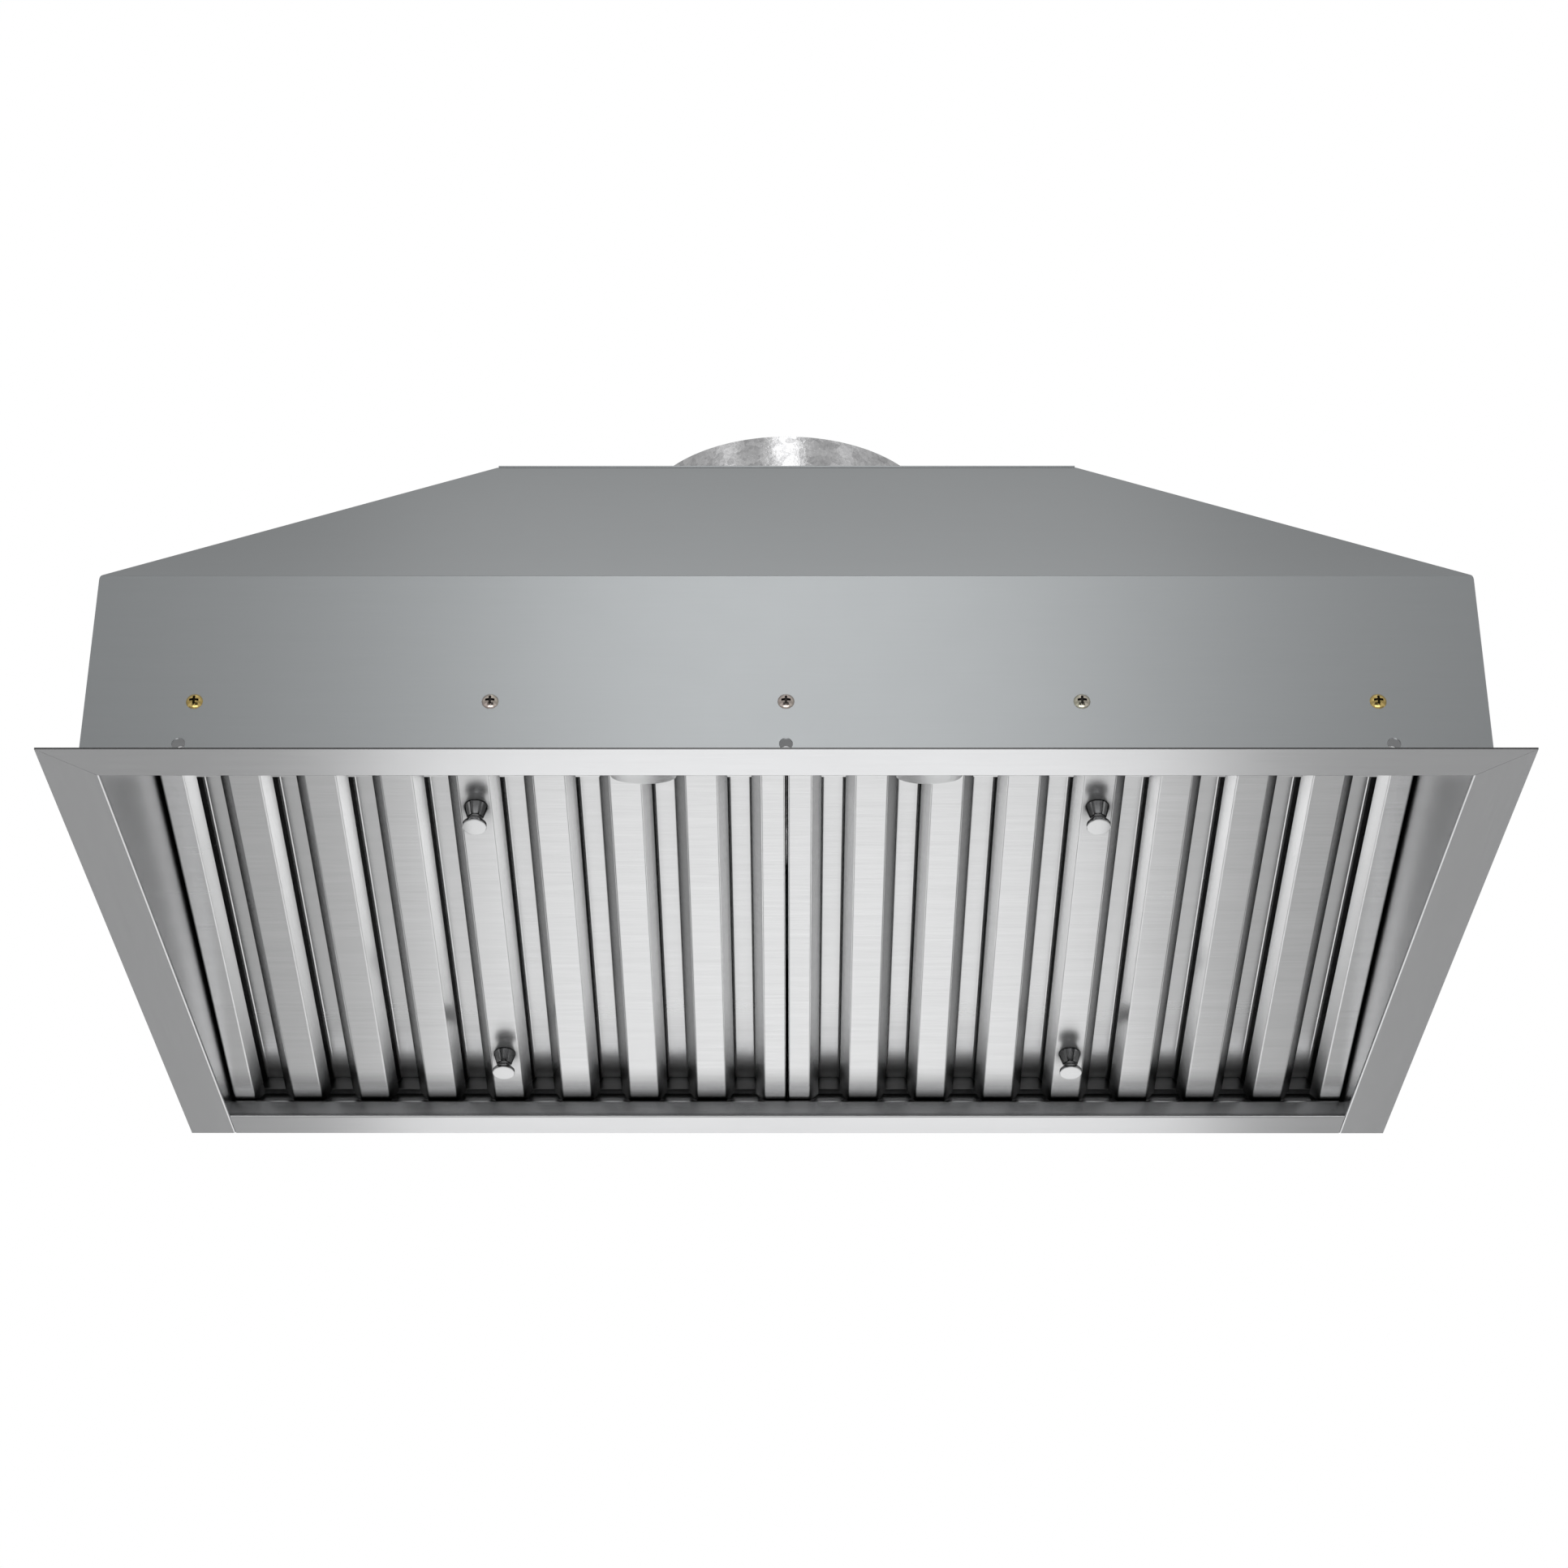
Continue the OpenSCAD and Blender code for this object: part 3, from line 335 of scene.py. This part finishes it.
# The sheets' looks; their masks paint light and shade: the liner's rim and side walls, the shell's top, the
# ribs' outward slopes and ends, the frames' flanks, meeting edges and ends, and the baffles' lips are
# darker; the rear wall and the baffles' ends are lighter
sheetLooks = {
    "linerSteel": {**linerBase, "rim": [(0.5, 0.3), (1.0, 1.0)], "behind": [(0.8, 0.0), (0.9, 0.27)]},
    "linerRearSteel": {**linerBase, "rise": 60 * mm, "climb": [(0.03, 1.0), (0.06, 1.75)]},
    "linerSideSteel": {**linerBase, "grain": "y", "rise": 60 * mm, "climb": [(0.06, 1.0), (0.8, 0.65)]},
    "shellSteel": {**sheetBase, "tone": (0.472, 0.492, 0.503), "low": 0.975, "rough": 0.31, "spread": 0.03,
                   "bump": 0.006, "ripple": 0.05, "cloud": 3.0, "marks": 0.03, "cornerShade": seam,
                   "rise": 285 * mm, "climb": [(0.45, 1.0), (1.0, 0.82)]},
    "ribSteel": {**filterBase, "cornerShade": slot, "endLong": 42 * mm, "ends": ribEndShade,
                 "outward": [(0.0, 1.0), (0.03, 0.6), (0.2, 0.62), (0.3, 0.9)]},
    "frameSteel": {**filterBase, "cornerShade": edge, "endLong": 42 * mm, "ends": frameEndShade,
                   "sides": [(0.6, 1.0), (0.9, 0.3)], "hem": [(0.5, 0.03), (0.65, 1.0)]},
    "baffleSteel": {**filterBase, "tone": (0.66, 0.663, 0.667), "marks": 0.06, "cornerShade": seam,
                    "endLong": 110 * mm, "ends": baffleEndLightAndShade, "lips": [(0.0, 0.05), (1.0, 1.0)],
                    "blur": [(0.0, 0.16), (0.5, 0.04), (1.0, 0.0)]},
    "innerSteel": {**sheetBase, "grain": "y", "tone": (0.50, 0.51, 0.52), "low": 0.92, "rough": 0.36,
                   "spread": 0.08, "cornerShade": tray},
}
finishes = {name: grainedSteel(name, look) for name, look in sheetLooks.items()}
print("sheet finishes made", len(finishes))

# Crystals, the noise that bends them, and the pebbles: scales per metre
zincLook = {"cells": 260.0, "swirls": 70.0, "bend": 5 * mm, "pebbles": 420.0, "cellShare": 0.35,
            "dark": (0.62, 0.62, 0.63), "mid": (0.80, 0.80, 0.81), "bright": (0.97, 0.97, 0.98),
            "rough": 0.14, "cellRough": 0.10, "pebbleRough": 0.06, "bump": 0.2, "cellRise": 0.2,
            "deep": 0.6 * mm}


# Hot-dip zinc: pebbled, with small crystals of different brightness
def spangledZinc(name, look):
    material, finish = newMaterial(name)
    place = finish.put("TexCoord", out="Object")
    swirl = finish.put("TexNoise", None, {"Vector": place, "Scale": look["swirls"], "Detail": 2.0}, "Color")
    swirl = finish.put("VectorMath", {"operation": "SCALE"}, {0: swirl, "Scale": look["bend"]})
    bent = finish.vector("ADD", place, swirl)
    cells = finish.put("TexVoronoi", None, {"Vector": bent, "Scale": look["cells"]}, "Color")
    level, slant = (finish.put("SeparateColor", None, {"Color": cells}, out) for out in (0, 1))
    pebble = finish.noise(place, look["pebbles"], detail=3.0, rough=0.65)
    mixed = blend(level, pebble, look["cellShare"])
    shade = finish.ramp(mixed, [(0.25, look["dark"]), (0.45, look["mid"]), (0.7, look["bright"])])
    rough = look["rough"] + slant * look["cellRough"] + pebble * look["pebbleRough"]
    bump = finish.bumped(pebble + level * look["cellRise"], look["bump"], look["deep"])
    finish.surface({"Base Color": finish.cornerShaded(shade, seam), "Metallic": 1.0, "Roughness": rough,
                    "Normal": bump})
    return material


# What knobs and dials share: the metal's specks, the pointer's paint, the line where a neck's painted shade
# starts
turnedSpecks = {"scale": 300.0, "rough": 0.03, "deep": 0.3 * mm}
pointerPaint = {"tone": (0.04, 0.04, 0.042), "fade": mm / 9}
neckFade = 0.3 * mm


# Turned metal: rings round an axis through a point, with a filled pointer line or a neck darkened by
# painted shade
def turnedMetal(name, look):
    material, finish = newMaterial(name)
    place = finish.put("TexCoord", out="Object")
    offset = finish.vector("SUBTRACT", place, tuple(look["centre"]))
    height = finish.along(offset, look["axis"])
    whole = finish.vector("LENGTH", offset, out="Value")
    radius = (whole * whole - height * height) ** 0.5
    ringPlace = radius * look["rings"] + height * look["turns"]
    rings = finish.put("TexNoise", {"noise_dimensions": "1D"},
                       {"W": ringPlace, "Scale": 1.0, "Detail": 2.0})
    specks = finish.noise(place, turnedSpecks["scale"], detail=3.0)
    shade = finish.toned(rings, dimmed(look["tone"], look["low"]), look["tone"])
    if "pointer" in look:
        span = look["pointer"]
        aside = abs(finish.part(offset, "X"))
        across = finish.clamped((span["wide"] / 2 - aside) / pointerPaint["fade"] + 0.5)
        ahead = finish.along(offset, look["ahead"])
        along = finish.clamped((ahead - span["from"]) / pointerPaint["fade"])
        shade = finish.tint(across * along, shade, pointerPaint["tone"])
    if "neck" in look:
        tip = (-height - look["disc"]) / neckFade
        shade = finish.masked(shade, tip, [(0.0, look["neck"]), (1.0, 1.0)])
    middleRough = look["rough"] - look["spread"] / 2 - turnedSpecks["rough"] / 2
    rough = rings * look["spread"] + specks * turnedSpecks["rough"] + middleRough
    bump = finish.bumped(rings, look["bump"], turnedSpecks["deep"])
    finish.surface({"Base Color": finish.cornerShaded(shade, seam), "Metallic": 1.0, "Roughness": rough,
                    "Normal": bump})
    return material


mottleMix = {"share": 0.6, "drift": 6, "deep": 0.3 * mm}
# Inner and outer screws by their distance across in metres, squared; stops of the inner ones' two tints
screwTint = {"innerTo": 0.06, "outerFrom": 0.09, "pale": 0.35, "blush": 0.65}


# Plated or painted small metal, and mouldings, with a fine mottle; the inner screws are paler
def mottled(name, look):
    material, finish = newMaterial(name)
    place = finish.put("TexCoord", out="Object")
    mottle = finish.noise(place, look["scale"], detail=3.0, rough=0.6)
    drift = finish.noise(place, look["scale"] / mottleMix["drift"])
    shade = finish.toned(blend(mottle, drift, mottleMix["share"]), look["dark"], look["tone"])
    if "inner" in look:
        across = finish.part(place, "X")
        outer = finish.ramp(across * across, [(screwTint["innerTo"], 0.0), (screwTint["outerFrom"], 1.0)])
        pale = finish.ramp(drift, [(screwTint["pale"], look["inner"]), (screwTint["blush"], look["blush"])])
        shade = finish.tint(outer, pale, shade)
    if "recess" in look:  # painted shade in the cross recess of each head of the screw rows, front and sides
        span = look["recess"]
        beside = abs(finish.part(place, "X"))
        onSide = finish.ramp((beside - span["wall"]) / mm, [(0.0, 0.0), (0.1, 1.0)])
        aside = (finish.fromRow(finish.part(place, "X"), span["frontPitch"]) * (1 - onSide)
                 + finish.fromRow(finish.part(place, "Y"), span["sidePitch"]) * onSide)
        above = abs(finish.part(place, "Z") - span["row"])
        arm = smaller(aside, above) - span["wide"] / 2
        tip = larger(aside, above) - span["long"] / 2
        shade = finish.masked(shade, larger(arm, tip) / span["fade"], [(0.0, span["tone"]), (1.0, 1.0)])
    rough = look["rough"] + (mottle - 0.5) * look["spread"]
    bump = finish.bumped(mottle, look["bump"], mottleMix["deep"])
    finish.surface({"Base Color": finish.cornerShaded(shade, look["cornerShade"]), "Metallic": look["metal"],
                    "Roughness": rough, "Normal": bump})
    return material


metalBase = {"metal": 1.0, "spread": 0.08, "bump": 0.03, "cornerShade": seam}
mouldedBase = {"metal": 0.0, "spread": 0.12, "bump": 0.1, "cornerShade": seam}
yellowLook = {**metalBase, "tone": (0.97, 0.74, 0.27), "dark": (0.88, 0.64, 0.24), "scale": 260.0,
              "rough": 0.2, "bump": 0.02, "inner": (0.86, 0.84, 0.66), "blush": (0.88, 0.76, 0.70),
              "cornerShade": cross}
# The crosses of the screw heads, darkened with painted shade
screwRecess = {"frontPitch": 173.3 * mm, "sidePitch": 180 * mm, "row": 43 * mm, "wall": 410 * mm,
               "wide": 1.3 * mm, "long": 5.4 * mm, "fade": 0.2 * mm, "tone": 0.03}
mottledLooks = {
    "yellowZinc": yellowLook,
    "shellScrewZinc": {**yellowLook, "recess": screwRecess},
    "groundBar": {**metalBase, "tone": (0.74, 0.75, 0.76), "dark": (0.66, 0.67, 0.68), "scale": 500.0,
                  "rough": 0.20},
    "satinNickel": {**metalBase, "tone": (0.62, 0.61, 0.59), "dark": (0.54, 0.53, 0.51), "scale": 600.0,
                    "rough": 0.24},
    "darkEnamel": {**mouldedBase, "tone": (0.075, 0.08, 0.085), "dark": (0.05, 0.052, 0.056),
                   "scale": 700.0, "rough": 0.38, "spread": 0.16, "bump": 0.12},
    "blackMoulding": {**mouldedBase, "tone": (0.03, 0.03, 0.032), "dark": (0.018, 0.018, 0.02),
                      "scale": 900.0, "rough": 0.5, "bump": 0.2},
    "whiteMoulding": {**mouldedBase, "tone": (0.74, 0.74, 0.71), "dark": (0.66, 0.66, 0.63), "scale": 700.0,
                      "rough": 0.45},
    "frostedLens": {**mouldedBase, "tone": (0.88, 0.89, 0.90), "dark": (0.80, 0.81, 0.82), "scale": 500.0,
                    "rough": 0.32, "spread": 0.10},
}
finishes.update({name: mottled(name, look) for name, look in mottledLooks.items()})
finishes["spangledZinc"] = spangledZinc("spangledZinc", zincLook)
print("all finishes made", len(finishes))

# Which finish each CAD node wears
dressing = {
    "linerSteel": ["liner_front", "control_panel"],
    "linerRearSteel": ["liner_rear"],
    "linerSideSteel": ["liner_left", "liner_right"],
    "shellSteel": ["shell_front", "shell_rear", "shell_left", "shell_right", "top_plate"],
    "innerSteel": ["rail_front", "rail_left", "rail_right", "wiring_cover", "filter_springs"],
    "baffleSteel": ["filter_baffles_left", "filter_baffles_right"],
    "ribSteel": ["filter_ribs_left", "filter_ribs_right"],
    "frameSteel": ["filter_frame_left", "filter_frame_right"],
    "spangledZinc": ["duct_collar", "damper_flap_front", "damper_flap_rear", "outlet_flange",
                     "scroll_wrap", "scroll_cheek_left", "scroll_cheek_right", "inlet_rings",
                     "motor_bracket", "junction_box", "junction_lid", "capacitor_clip"],
    "shellScrewZinc": ["shell_screws"],
    "yellowZinc": ["collar_screws", "motor_screws", "switch_nuts", "knob_screws_left", "knob_screws_right"],
    "groundBar": ["damper_rod", "motor_shaft", "fan_stem", "light_stem", "fan_dial", "light_dial",
                  "filter_knobs_left", "filter_knobs_right"],
    "darkEnamel": ["blower_wheel", "motor", "lamp_bodies"],
    "blackMoulding": ["cable_gland", "gland_nut", "fan_switch", "light_switch"],
    "whiteMoulding": ["terminal_block", "capacitor", "lamp_driver"],
    "satinNickel": ["lamp_bezels"],
    "frostedLens": ["lamp_lenses"],
}
# Sheet bends and edges; the angles are in degrees
bendShape = {"smooth": 32, "flat": 1, "weld": 0.01 * mm, "edgeAngle": 50, "edgeWide": 0.25 * mm,
             "edgeSteps": 2}


def paint(piece, material):
    piece.data.materials.clear()
    piece.data.materials.append(material)


# Bends shade as curves and folds as crisp lines: every face smooth, each edge past the limit sharp
def bendShading(limit):
    group = bpy.data.node_groups.new("bendShading", "GeometryNodeTree")
    for way in ("INPUT", "OUTPUT"):
        group.interface.new_socket("Geometry", in_out=way, socket_type="NodeSocketGeometry")
    steps = Finish(group)
    shape = steps.put("NodeGroupInput")
    shape = steps.put("GeometryNodeSetShadeSmooth", {"domain": "FACE"},
                      {"Geometry": shape, "Shade Smooth": True})
    sharp = steps.put("GeometryNodeInputMeshEdgeAngle") - limit
    shape = steps.put("GeometryNodeSetShadeSmooth", {"domain": "EDGE"},
                      {"Geometry": shape, "Selection": sharp, "Shade Smooth": False})
    steps.put("NodeGroupOutput", None, {0: shape})
    return group


def weightNormals(piece):
    piece.modifiers.new("normals", "WEIGHTED_NORMAL").keep_sharp = True


def soften(piece, bends):
    piece.modifiers.new("weld", "WELD").merge_threshold = bendShape["weld"]
    flat = piece.modifiers.new("flat", "DECIMATE")
    flat.decimate_type = "DISSOLVE"
    flat.angle_limit = math.radians(bendShape["flat"])
    piece.modifiers.new("bends", "NODES").node_group = bends
    bevel = piece.modifiers.new("edge", "BEVEL")
    bevel.width = bendShape["edgeWide"]
    bevel.segments = bendShape["edgeSteps"]
    bevel.limit_method = "ANGLE"
    bevel.angle_limit = math.radians(bendShape["edgeAngle"])
    bevel.use_clamp_overlap = True
    weightNormals(piece)


bends = bendShading(math.radians(bendShape["smooth"]))
for worn, nodes in dressing.items():
    for node in nodes:
        paint(frame["nodes"][node], finishes[worn])
        soften(frame["nodes"][node], bends)
print("nodes dressed")

# Made pieces: the degrees past which an edge is sharp or a corner counts as straight, an arc's reach
madeShape = {"sharp": 35, "straight": 88, "reach": 0.45, "arcSteps": 5}


# Points of a bent line: each inner corner becomes an arc
def rounded(points, radius):
    steps = madeShape["arcSteps"]
    made = [Vector(points[0])]
    for before, corner, after in zip(points, points[1:], points[2:]):
        before, corner, after = Vector(before), Vector(corner), Vector(after)
        towards, away = (before - corner).normalized(), (after - corner).normalized()
        half = towards.angle(away) / 2
        if half > math.radians(madeShape["straight"]):
            made.append(corner)
            continue
        shorter = min((before - corner).length, (after - corner).length)
        back = min(radius / math.tan(half), madeShape["reach"] * shorter)
        curve = back * math.tan(half)
        middle = corner + (towards + away).normalized() * (curve / math.sin(half))
        start, end = corner + towards * back - middle, corner + away * back - middle
        sweep = start.angle(end)
        for step in range(steps + 1):
            turn = sweep * step / steps
            made.append(middle + (start * math.sin(sweep - turn) + end * math.sin(turn)) / math.sin(sweep))
    made.append(Vector(points[-1]))
    return made


# A profile of (radius, height) turned round the Z axis of each place
def turned(profile, places, steps):
    built = bmesh.new()
    circle = [(math.cos(2 * math.pi * step / steps), math.sin(2 * math.pi * step / steps))
              for step in range(steps)]
    for place in places:
        rings = []
        for radius, height in profile:
            spots = [(radius * x, radius * y, height) for x, y in circle] if radius else [(0, 0, height)]
            rings.append([built.verts.new(place @ Vector(spot)) for spot in spots])
        for lower, upper in zip(rings, rings[1:]):
            for step in range(steps):
                after = (step + 1) % steps
                corners = [lower[step % len(lower)], lower[after % len(lower)],
                           upper[after % len(upper)], upper[step % len(upper)]]
                built.faces.new(list(dict.fromkeys(corners)))
    bmesh.ops.recalc_face_normals(built, faces=built.faces)
    return built


# A made piece in place of CAD nodes, riding on their body
def finished(name, built, material, body, *nodes):
    mesh = bpy.data.meshes.new(name)
    built.to_mesh(mesh)
    built.free()
    mesh.validate()
    mesh.shade_smooth()
    mesh.set_sharp_from_angle(angle=math.radians(madeShape["sharp"]))
    piece = bpy.data.objects.new(name, mesh)
    bpy.context.collection.objects.link(piece)
    paint(piece, material)
    weightNormals(piece)
    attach(piece, body)
    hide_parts(*nodes)


# Filter knobs: an hourglass with a disc at its tip
knobShape = {"base": 8 * mm, "neck": 5.1 * mm, "head": 7.8 * mm, "length": 16.5 * mm, "disc": 2.8 * mm,
             "waist": 0.68, "taper": 1.15, "flare": 2.0, "round": 0.6 * mm, "levels": 32, "roundSteps": 3,
             "steps": 72}
# neck: the share of painted shade on the knob's neck
knobLook = {"axis": filterUp, "rings": 900.0, "turns": 1800.0, "tone": (0.60, 0.603, 0.607), "low": 0.96,
            "rough": 0.11, "spread": 0.02, "bump": 0.01, "neck": 0.45,
            "disc": knobShape["length"] - knobShape["disc"]}


def knobProfile(look):
    neckLong, rounding = look["length"] - look["disc"], look["round"]
    profile = [(0, 0), (look["base"] - rounding, 0)]
    for step in range(1, look["levels"]):
        share = step / look["levels"]
        if share < look["waist"]:
            wide = look["base"] - look["neck"]
            away = (1 - share / look["waist"]) ** look["taper"]
        else:
            wide = look["head"] - rounding - look["neck"]
            away = ((share - look["waist"]) / (1 - look["waist"])) ** look["flare"]
        profile.append((look["neck"] + wide * away, -neckLong * share))
    flat = look["head"] - rounding
    for start, turn in ((-neckLong - rounding, 90), (rounding - look["length"], 0)):
        for step in range(look["roundSteps"] + 1):
            angle = math.radians(turn - 90 * step / look["roundSteps"])
            profile.append((flat + rounding * math.cos(angle), start + rounding * math.sin(angle)))
    return profile + [(0, -look["length"])]


def filterPlace(side, along):
    middle = Matrix.Translation(Vector((side * filterMiddle, 0, 0)) + filterFront)
    return middle @ filterTurn @ Matrix.Translation(Vector((0, along, 0)))


for side, word in ((-1, "left"), (1, "right")):
    places = [filterPlace(side, along)
              for along in (filterShape["frontKnob"], filterLong - filterShape["rearKnob"])]
    metal = turnedMetal("polishedKnob." + word, {**knobLook, "centre": places[0].translation})
    built = turned(knobProfile(knobShape), places, knobShape["steps"])
    finished("filterKnobs." + word, built, metal, "filter_" + word, "filter_knobs_" + word)
print("knobs turned")

# Control dials: turned bodies with a spun, slightly dished face and one pointer line
dialShape = {"gap": 3 * mm, "tall": 17 * mm, "web": 9 * mm, "wall": 3 * mm, "edge": 1.2 * mm,
             "dish": 0.35 * mm, "mark": 1.4 * mm, "markLong": 9 * mm, "faceShare": 0.9, "dishShare": 0.5,
             "dishStart": 0.6, "steps": 96}
dialLook = {"rings": 1500.0, "turns": 900.0, "tone": (0.74, 0.745, 0.75), "low": 0.88, "rough": 0.22,
            "spread": 0.06, "bump": 0.05}


def dialProfile(look, wide):
    top, bottom = -look["gap"], -look["gap"] - look["tall"]
    inner, face = wide - look["wall"], wide * look["faceShare"]
    rim = rounded([(inner, top), (wide, top), (wide, bottom), (face, bottom)], look["edge"])
    profile = [(0, bottom + look["web"]), (inner, bottom + look["web"])]
    profile += [tuple(point) for point in rim]
    profile += [(wide * look["dishShare"], bottom + look["dish"] * look["dishStart"])]
    return profile + [(0, bottom + look["dish"])]


for word, body, node in (("fan", "fan_control", "fan_dial"), ("light", "light_control", "light_dial")):
    joint = next(row for row in frame["record"]["behaviour"]["joints"] if row["child"] == body)
    axis = Vector(joint["axis"]).normalized()
    low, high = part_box(node)
    wide = (high.x - low.x) / 2
    lean = Matrix.Rotation(math.atan2(-axis.y, axis.z), 4, "X")
    place = Matrix.Translation(Vector(joint["pos_m"])) @ lean
    pointer = {"wide": dialShape["mark"], "from": wide - dialShape["edge"] - dialShape["markLong"]}
    metal = turnedMetal("spunDial." + word, {**dialLook, "centre": place.translation, "axis": axis,
                                             "ahead": lean.to_3x3() @ -deepAxis, "pointer": pointer})
    built = turned(dialProfile(dialShape, wide), [place], dialShape["steps"])
    finished(word + "Dial", built, metal, body, node)
print("dials turned")

# Camera: found from the corners of the flange in the photograph; place in mm, angles in degrees,
# focal length and frame in photo pixels
cameraPlace = {"x": 3.8, "y": -1935.0, "z": -926.6, "pitch": 28.705, "yaw": 0.168, "roll": -0.080,
               "focal": 4061.8, "frame": 1932, "sensor": 36, "near": 0.05, "far": 60}
camera = bpy.data.objects.new("camera", bpy.data.cameras.new("camera"))
bpy.context.collection.objects.link(camera)
camera.data.sensor_width = cameraPlace["sensor"]
camera.data.lens = cameraPlace["sensor"] * cameraPlace["focal"] / cameraPlace["frame"]
camera.data.clip_start, camera.data.clip_end = cameraPlace["near"], cameraPlace["far"]
yawTurn = Matrix.Rotation(math.radians(cameraPlace["yaw"]), 4, "Z")
levelTurn = yawTurn @ Matrix.Rotation(math.radians(cameraPlace["pitch"]), 4, "X")
rollTurn = Matrix.Rotation(math.radians(cameraPlace["roll"]), 4, levelTurn @ deepAxis)
eye = Matrix.Translation(Vector([cameraPlace[key] * mm for key in "xyz"]))
camera.matrix_world = eye @ rollTurn @ levelTurn @ Matrix.Rotation(math.radians(90), 4, "X")
bpy.context.scene.camera = camera
bpy.context.scene.view_settings.view_transform = "Standard"
print("camera placed")

# Studio, in metres: soft boxes in front, above and low behind; a lamp's glow is its brightness
lamps = {
    "frontBox": {"place": (0, -2.9, 1.55), "aim": (0, -0.26, 0.1), "size": (0.9, 1.9), "glow": 1.12},
    "underBox": {"place": (0, 2.33, -1.25), "aim": (0, 0, 0.05), "size": (1.22, 1.05), "glow": 1.07},
    "ribBox": {"place": (0, 1.08, -1.38), "aim": (0, 0.1, 0.05), "size": (0.85, 0.9), "glow": 0.66},
    "leftBox": {"place": (-2.3, 2.65, -1.2), "aim": (0, 0, 0), "size": (1.0, 0.7), "glow": 1.7},
    "rightBox": {"place": (2.3, 2.65, -1.2), "aim": (0, 0, 0), "size": (1.0, 0.7), "glow": 1.7},
    "topBox": {"place": (0, -0.1, 2.9), "aim": (0, 0, 0.2), "size": (1.2, 2.0), "glow": 0.26},
    "collarLeft": {"place": (-2.3, -2.3, 1.9), "aim": (0, 0, 0.3), "size": (0.8, 1.2), "glow": 0.5},
    "collarRight": {"place": (2.3, -2.3, 1.9), "aim": (0, 0, 0.3), "size": (0.8, 1.2), "glow": 0.3},
    "sillBox": {"place": (0, -1.25, -1.36), "aim": (0, 0.25, 0.05), "size": (1.9, 0.5), "glow": 1.6},
}
for name, lamp in lamps.items():
    data = bpy.data.lights.new(name, "AREA")
    data.shape = "RECTANGLE"
    data.size, data.size_y = lamp["size"]
    data.energy = lamp["glow"] * math.pi * data.size * data.size_y
    light = bpy.data.objects.new(name, data)
    bpy.context.collection.objects.link(light)
    light.location = lamp["place"]
    light.rotation_euler = (Vector(lamp["aim"]) - Vector(lamp["place"])).to_track_quat("-Z", "Y").to_euler()
    light.visible_camera = False

# The pale floor fades into the white backdrop; the flag is a dark card that only metal mirrors
floorShape = {"drop": 1.6, "wide": 14.0, "tone": 0.66, "lift": 0.6, "fadeFrom": 0.35, "fadeTo": 0.95}
flagShape = {"wide": 3.2, "far": (-2.9, -0.35), "near": (-1.65, -1.42), "tone": 0.03, "lift": 0.0}
cardLook = {"scale": 2.0, "low": 0.97, "rough": 0.8}


# A flat card of the studio, not part of the object; lift is the light it gives off for the camera alone
def card(name, corners, look):
    mesh = bpy.data.meshes.new(name)
    mesh.from_pydata(corners, [], [(0, 1, 2, 3)])
    piece = bpy.data.objects.new(name, mesh)
    bpy.context.collection.objects.link(piece)
    material, finish = newMaterial(name)
    place = finish.put("TexCoord", out="Object")
    cloud = finish.noise(place, cardLook["scale"], detail=3.0)
    shade = finish.toned(cloud, look["tone"] * cardLook["low"], look["tone"])
    seen = finish.put("LightPath", out="Is Camera Ray")
    matt = finish.put("BsdfPrincipled", None, {"Base Color": shade, "Roughness": cardLook["rough"]})
    glow = finish.put("Emission", None, {"Color": shade, "Strength": look["lift"]})
    both = finish.put("AddShader", None, {0: matt, 1: glow})
    shader = finish.put("MixShader", None, {0: seen, 1: matt, 2: both})
    if "fadeTo" in look:
        away = finish.vector("LENGTH", place, out="Value") / (look["wide"] / 2)
        away = finish.ramp(away, [(look["fadeFrom"], 0.0), (look["fadeTo"], 1.0)])
        white = finish.put("Emission", None, {"Color": (1, 1, 1, 1), "Strength": 1.0})
        shader = finish.put("MixShader", None, {0: away * seen, 1: shader, 2: white})
    finish.put("OutputMaterial", None, {"Surface": shader})
    paint(piece, material)
    return piece


half, drop = floorShape["wide"] / 2, -floorShape["drop"]
card("floor", [(-half, -half, drop), (half, -half, drop), (half, half, drop), (-half, half, drop)],
     floorShape)
half, near, far = flagShape["wide"] / 2, flagShape["near"], flagShape["far"]
flag = card("flag", [(-half, *near), (-half, *far), (half, *far), (half, *near)], flagShape)
flag.visible_camera = False
flag.visible_shadow = False
flag.visible_diffuse = False

# Surround: a dim room, its tones from straight down to straight up, and how white each ray sees it
roomTones = [(0.0, 0.40), (0.4, 0.36), (0.44, 0.2), (0.58, 0.2), (0.7, 0.32), (1.0, 0.34)]
whiteShare = {"Is Camera Ray": 1.0, "Is Transmission Ray": 1.0, "Is Glossy Ray": 0.1, "Is Diffuse Ray": 0.6}
world = bpy.data.worlds.new("surround")
bpy.context.scene.world = world
world.use_nodes = True
finish = Finish(world.node_tree)
height = finish.part(finish.put("TexCoord", out="Generated"), "Z")
room = finish.ramp(height * 0.5 + 0.5, roomTones)
white = sum(finish.put("LightPath", out=ray) * share for ray, share in whiteShare.items())
colour = finish.tint(white, room, (1.0, 1.0, 1.0))
backdrop = finish.put("Background", None, {"Color": colour, "Strength": 1.0})
finish.put("OutputWorld", None, {"Surface": backdrop})
print("studio ready")
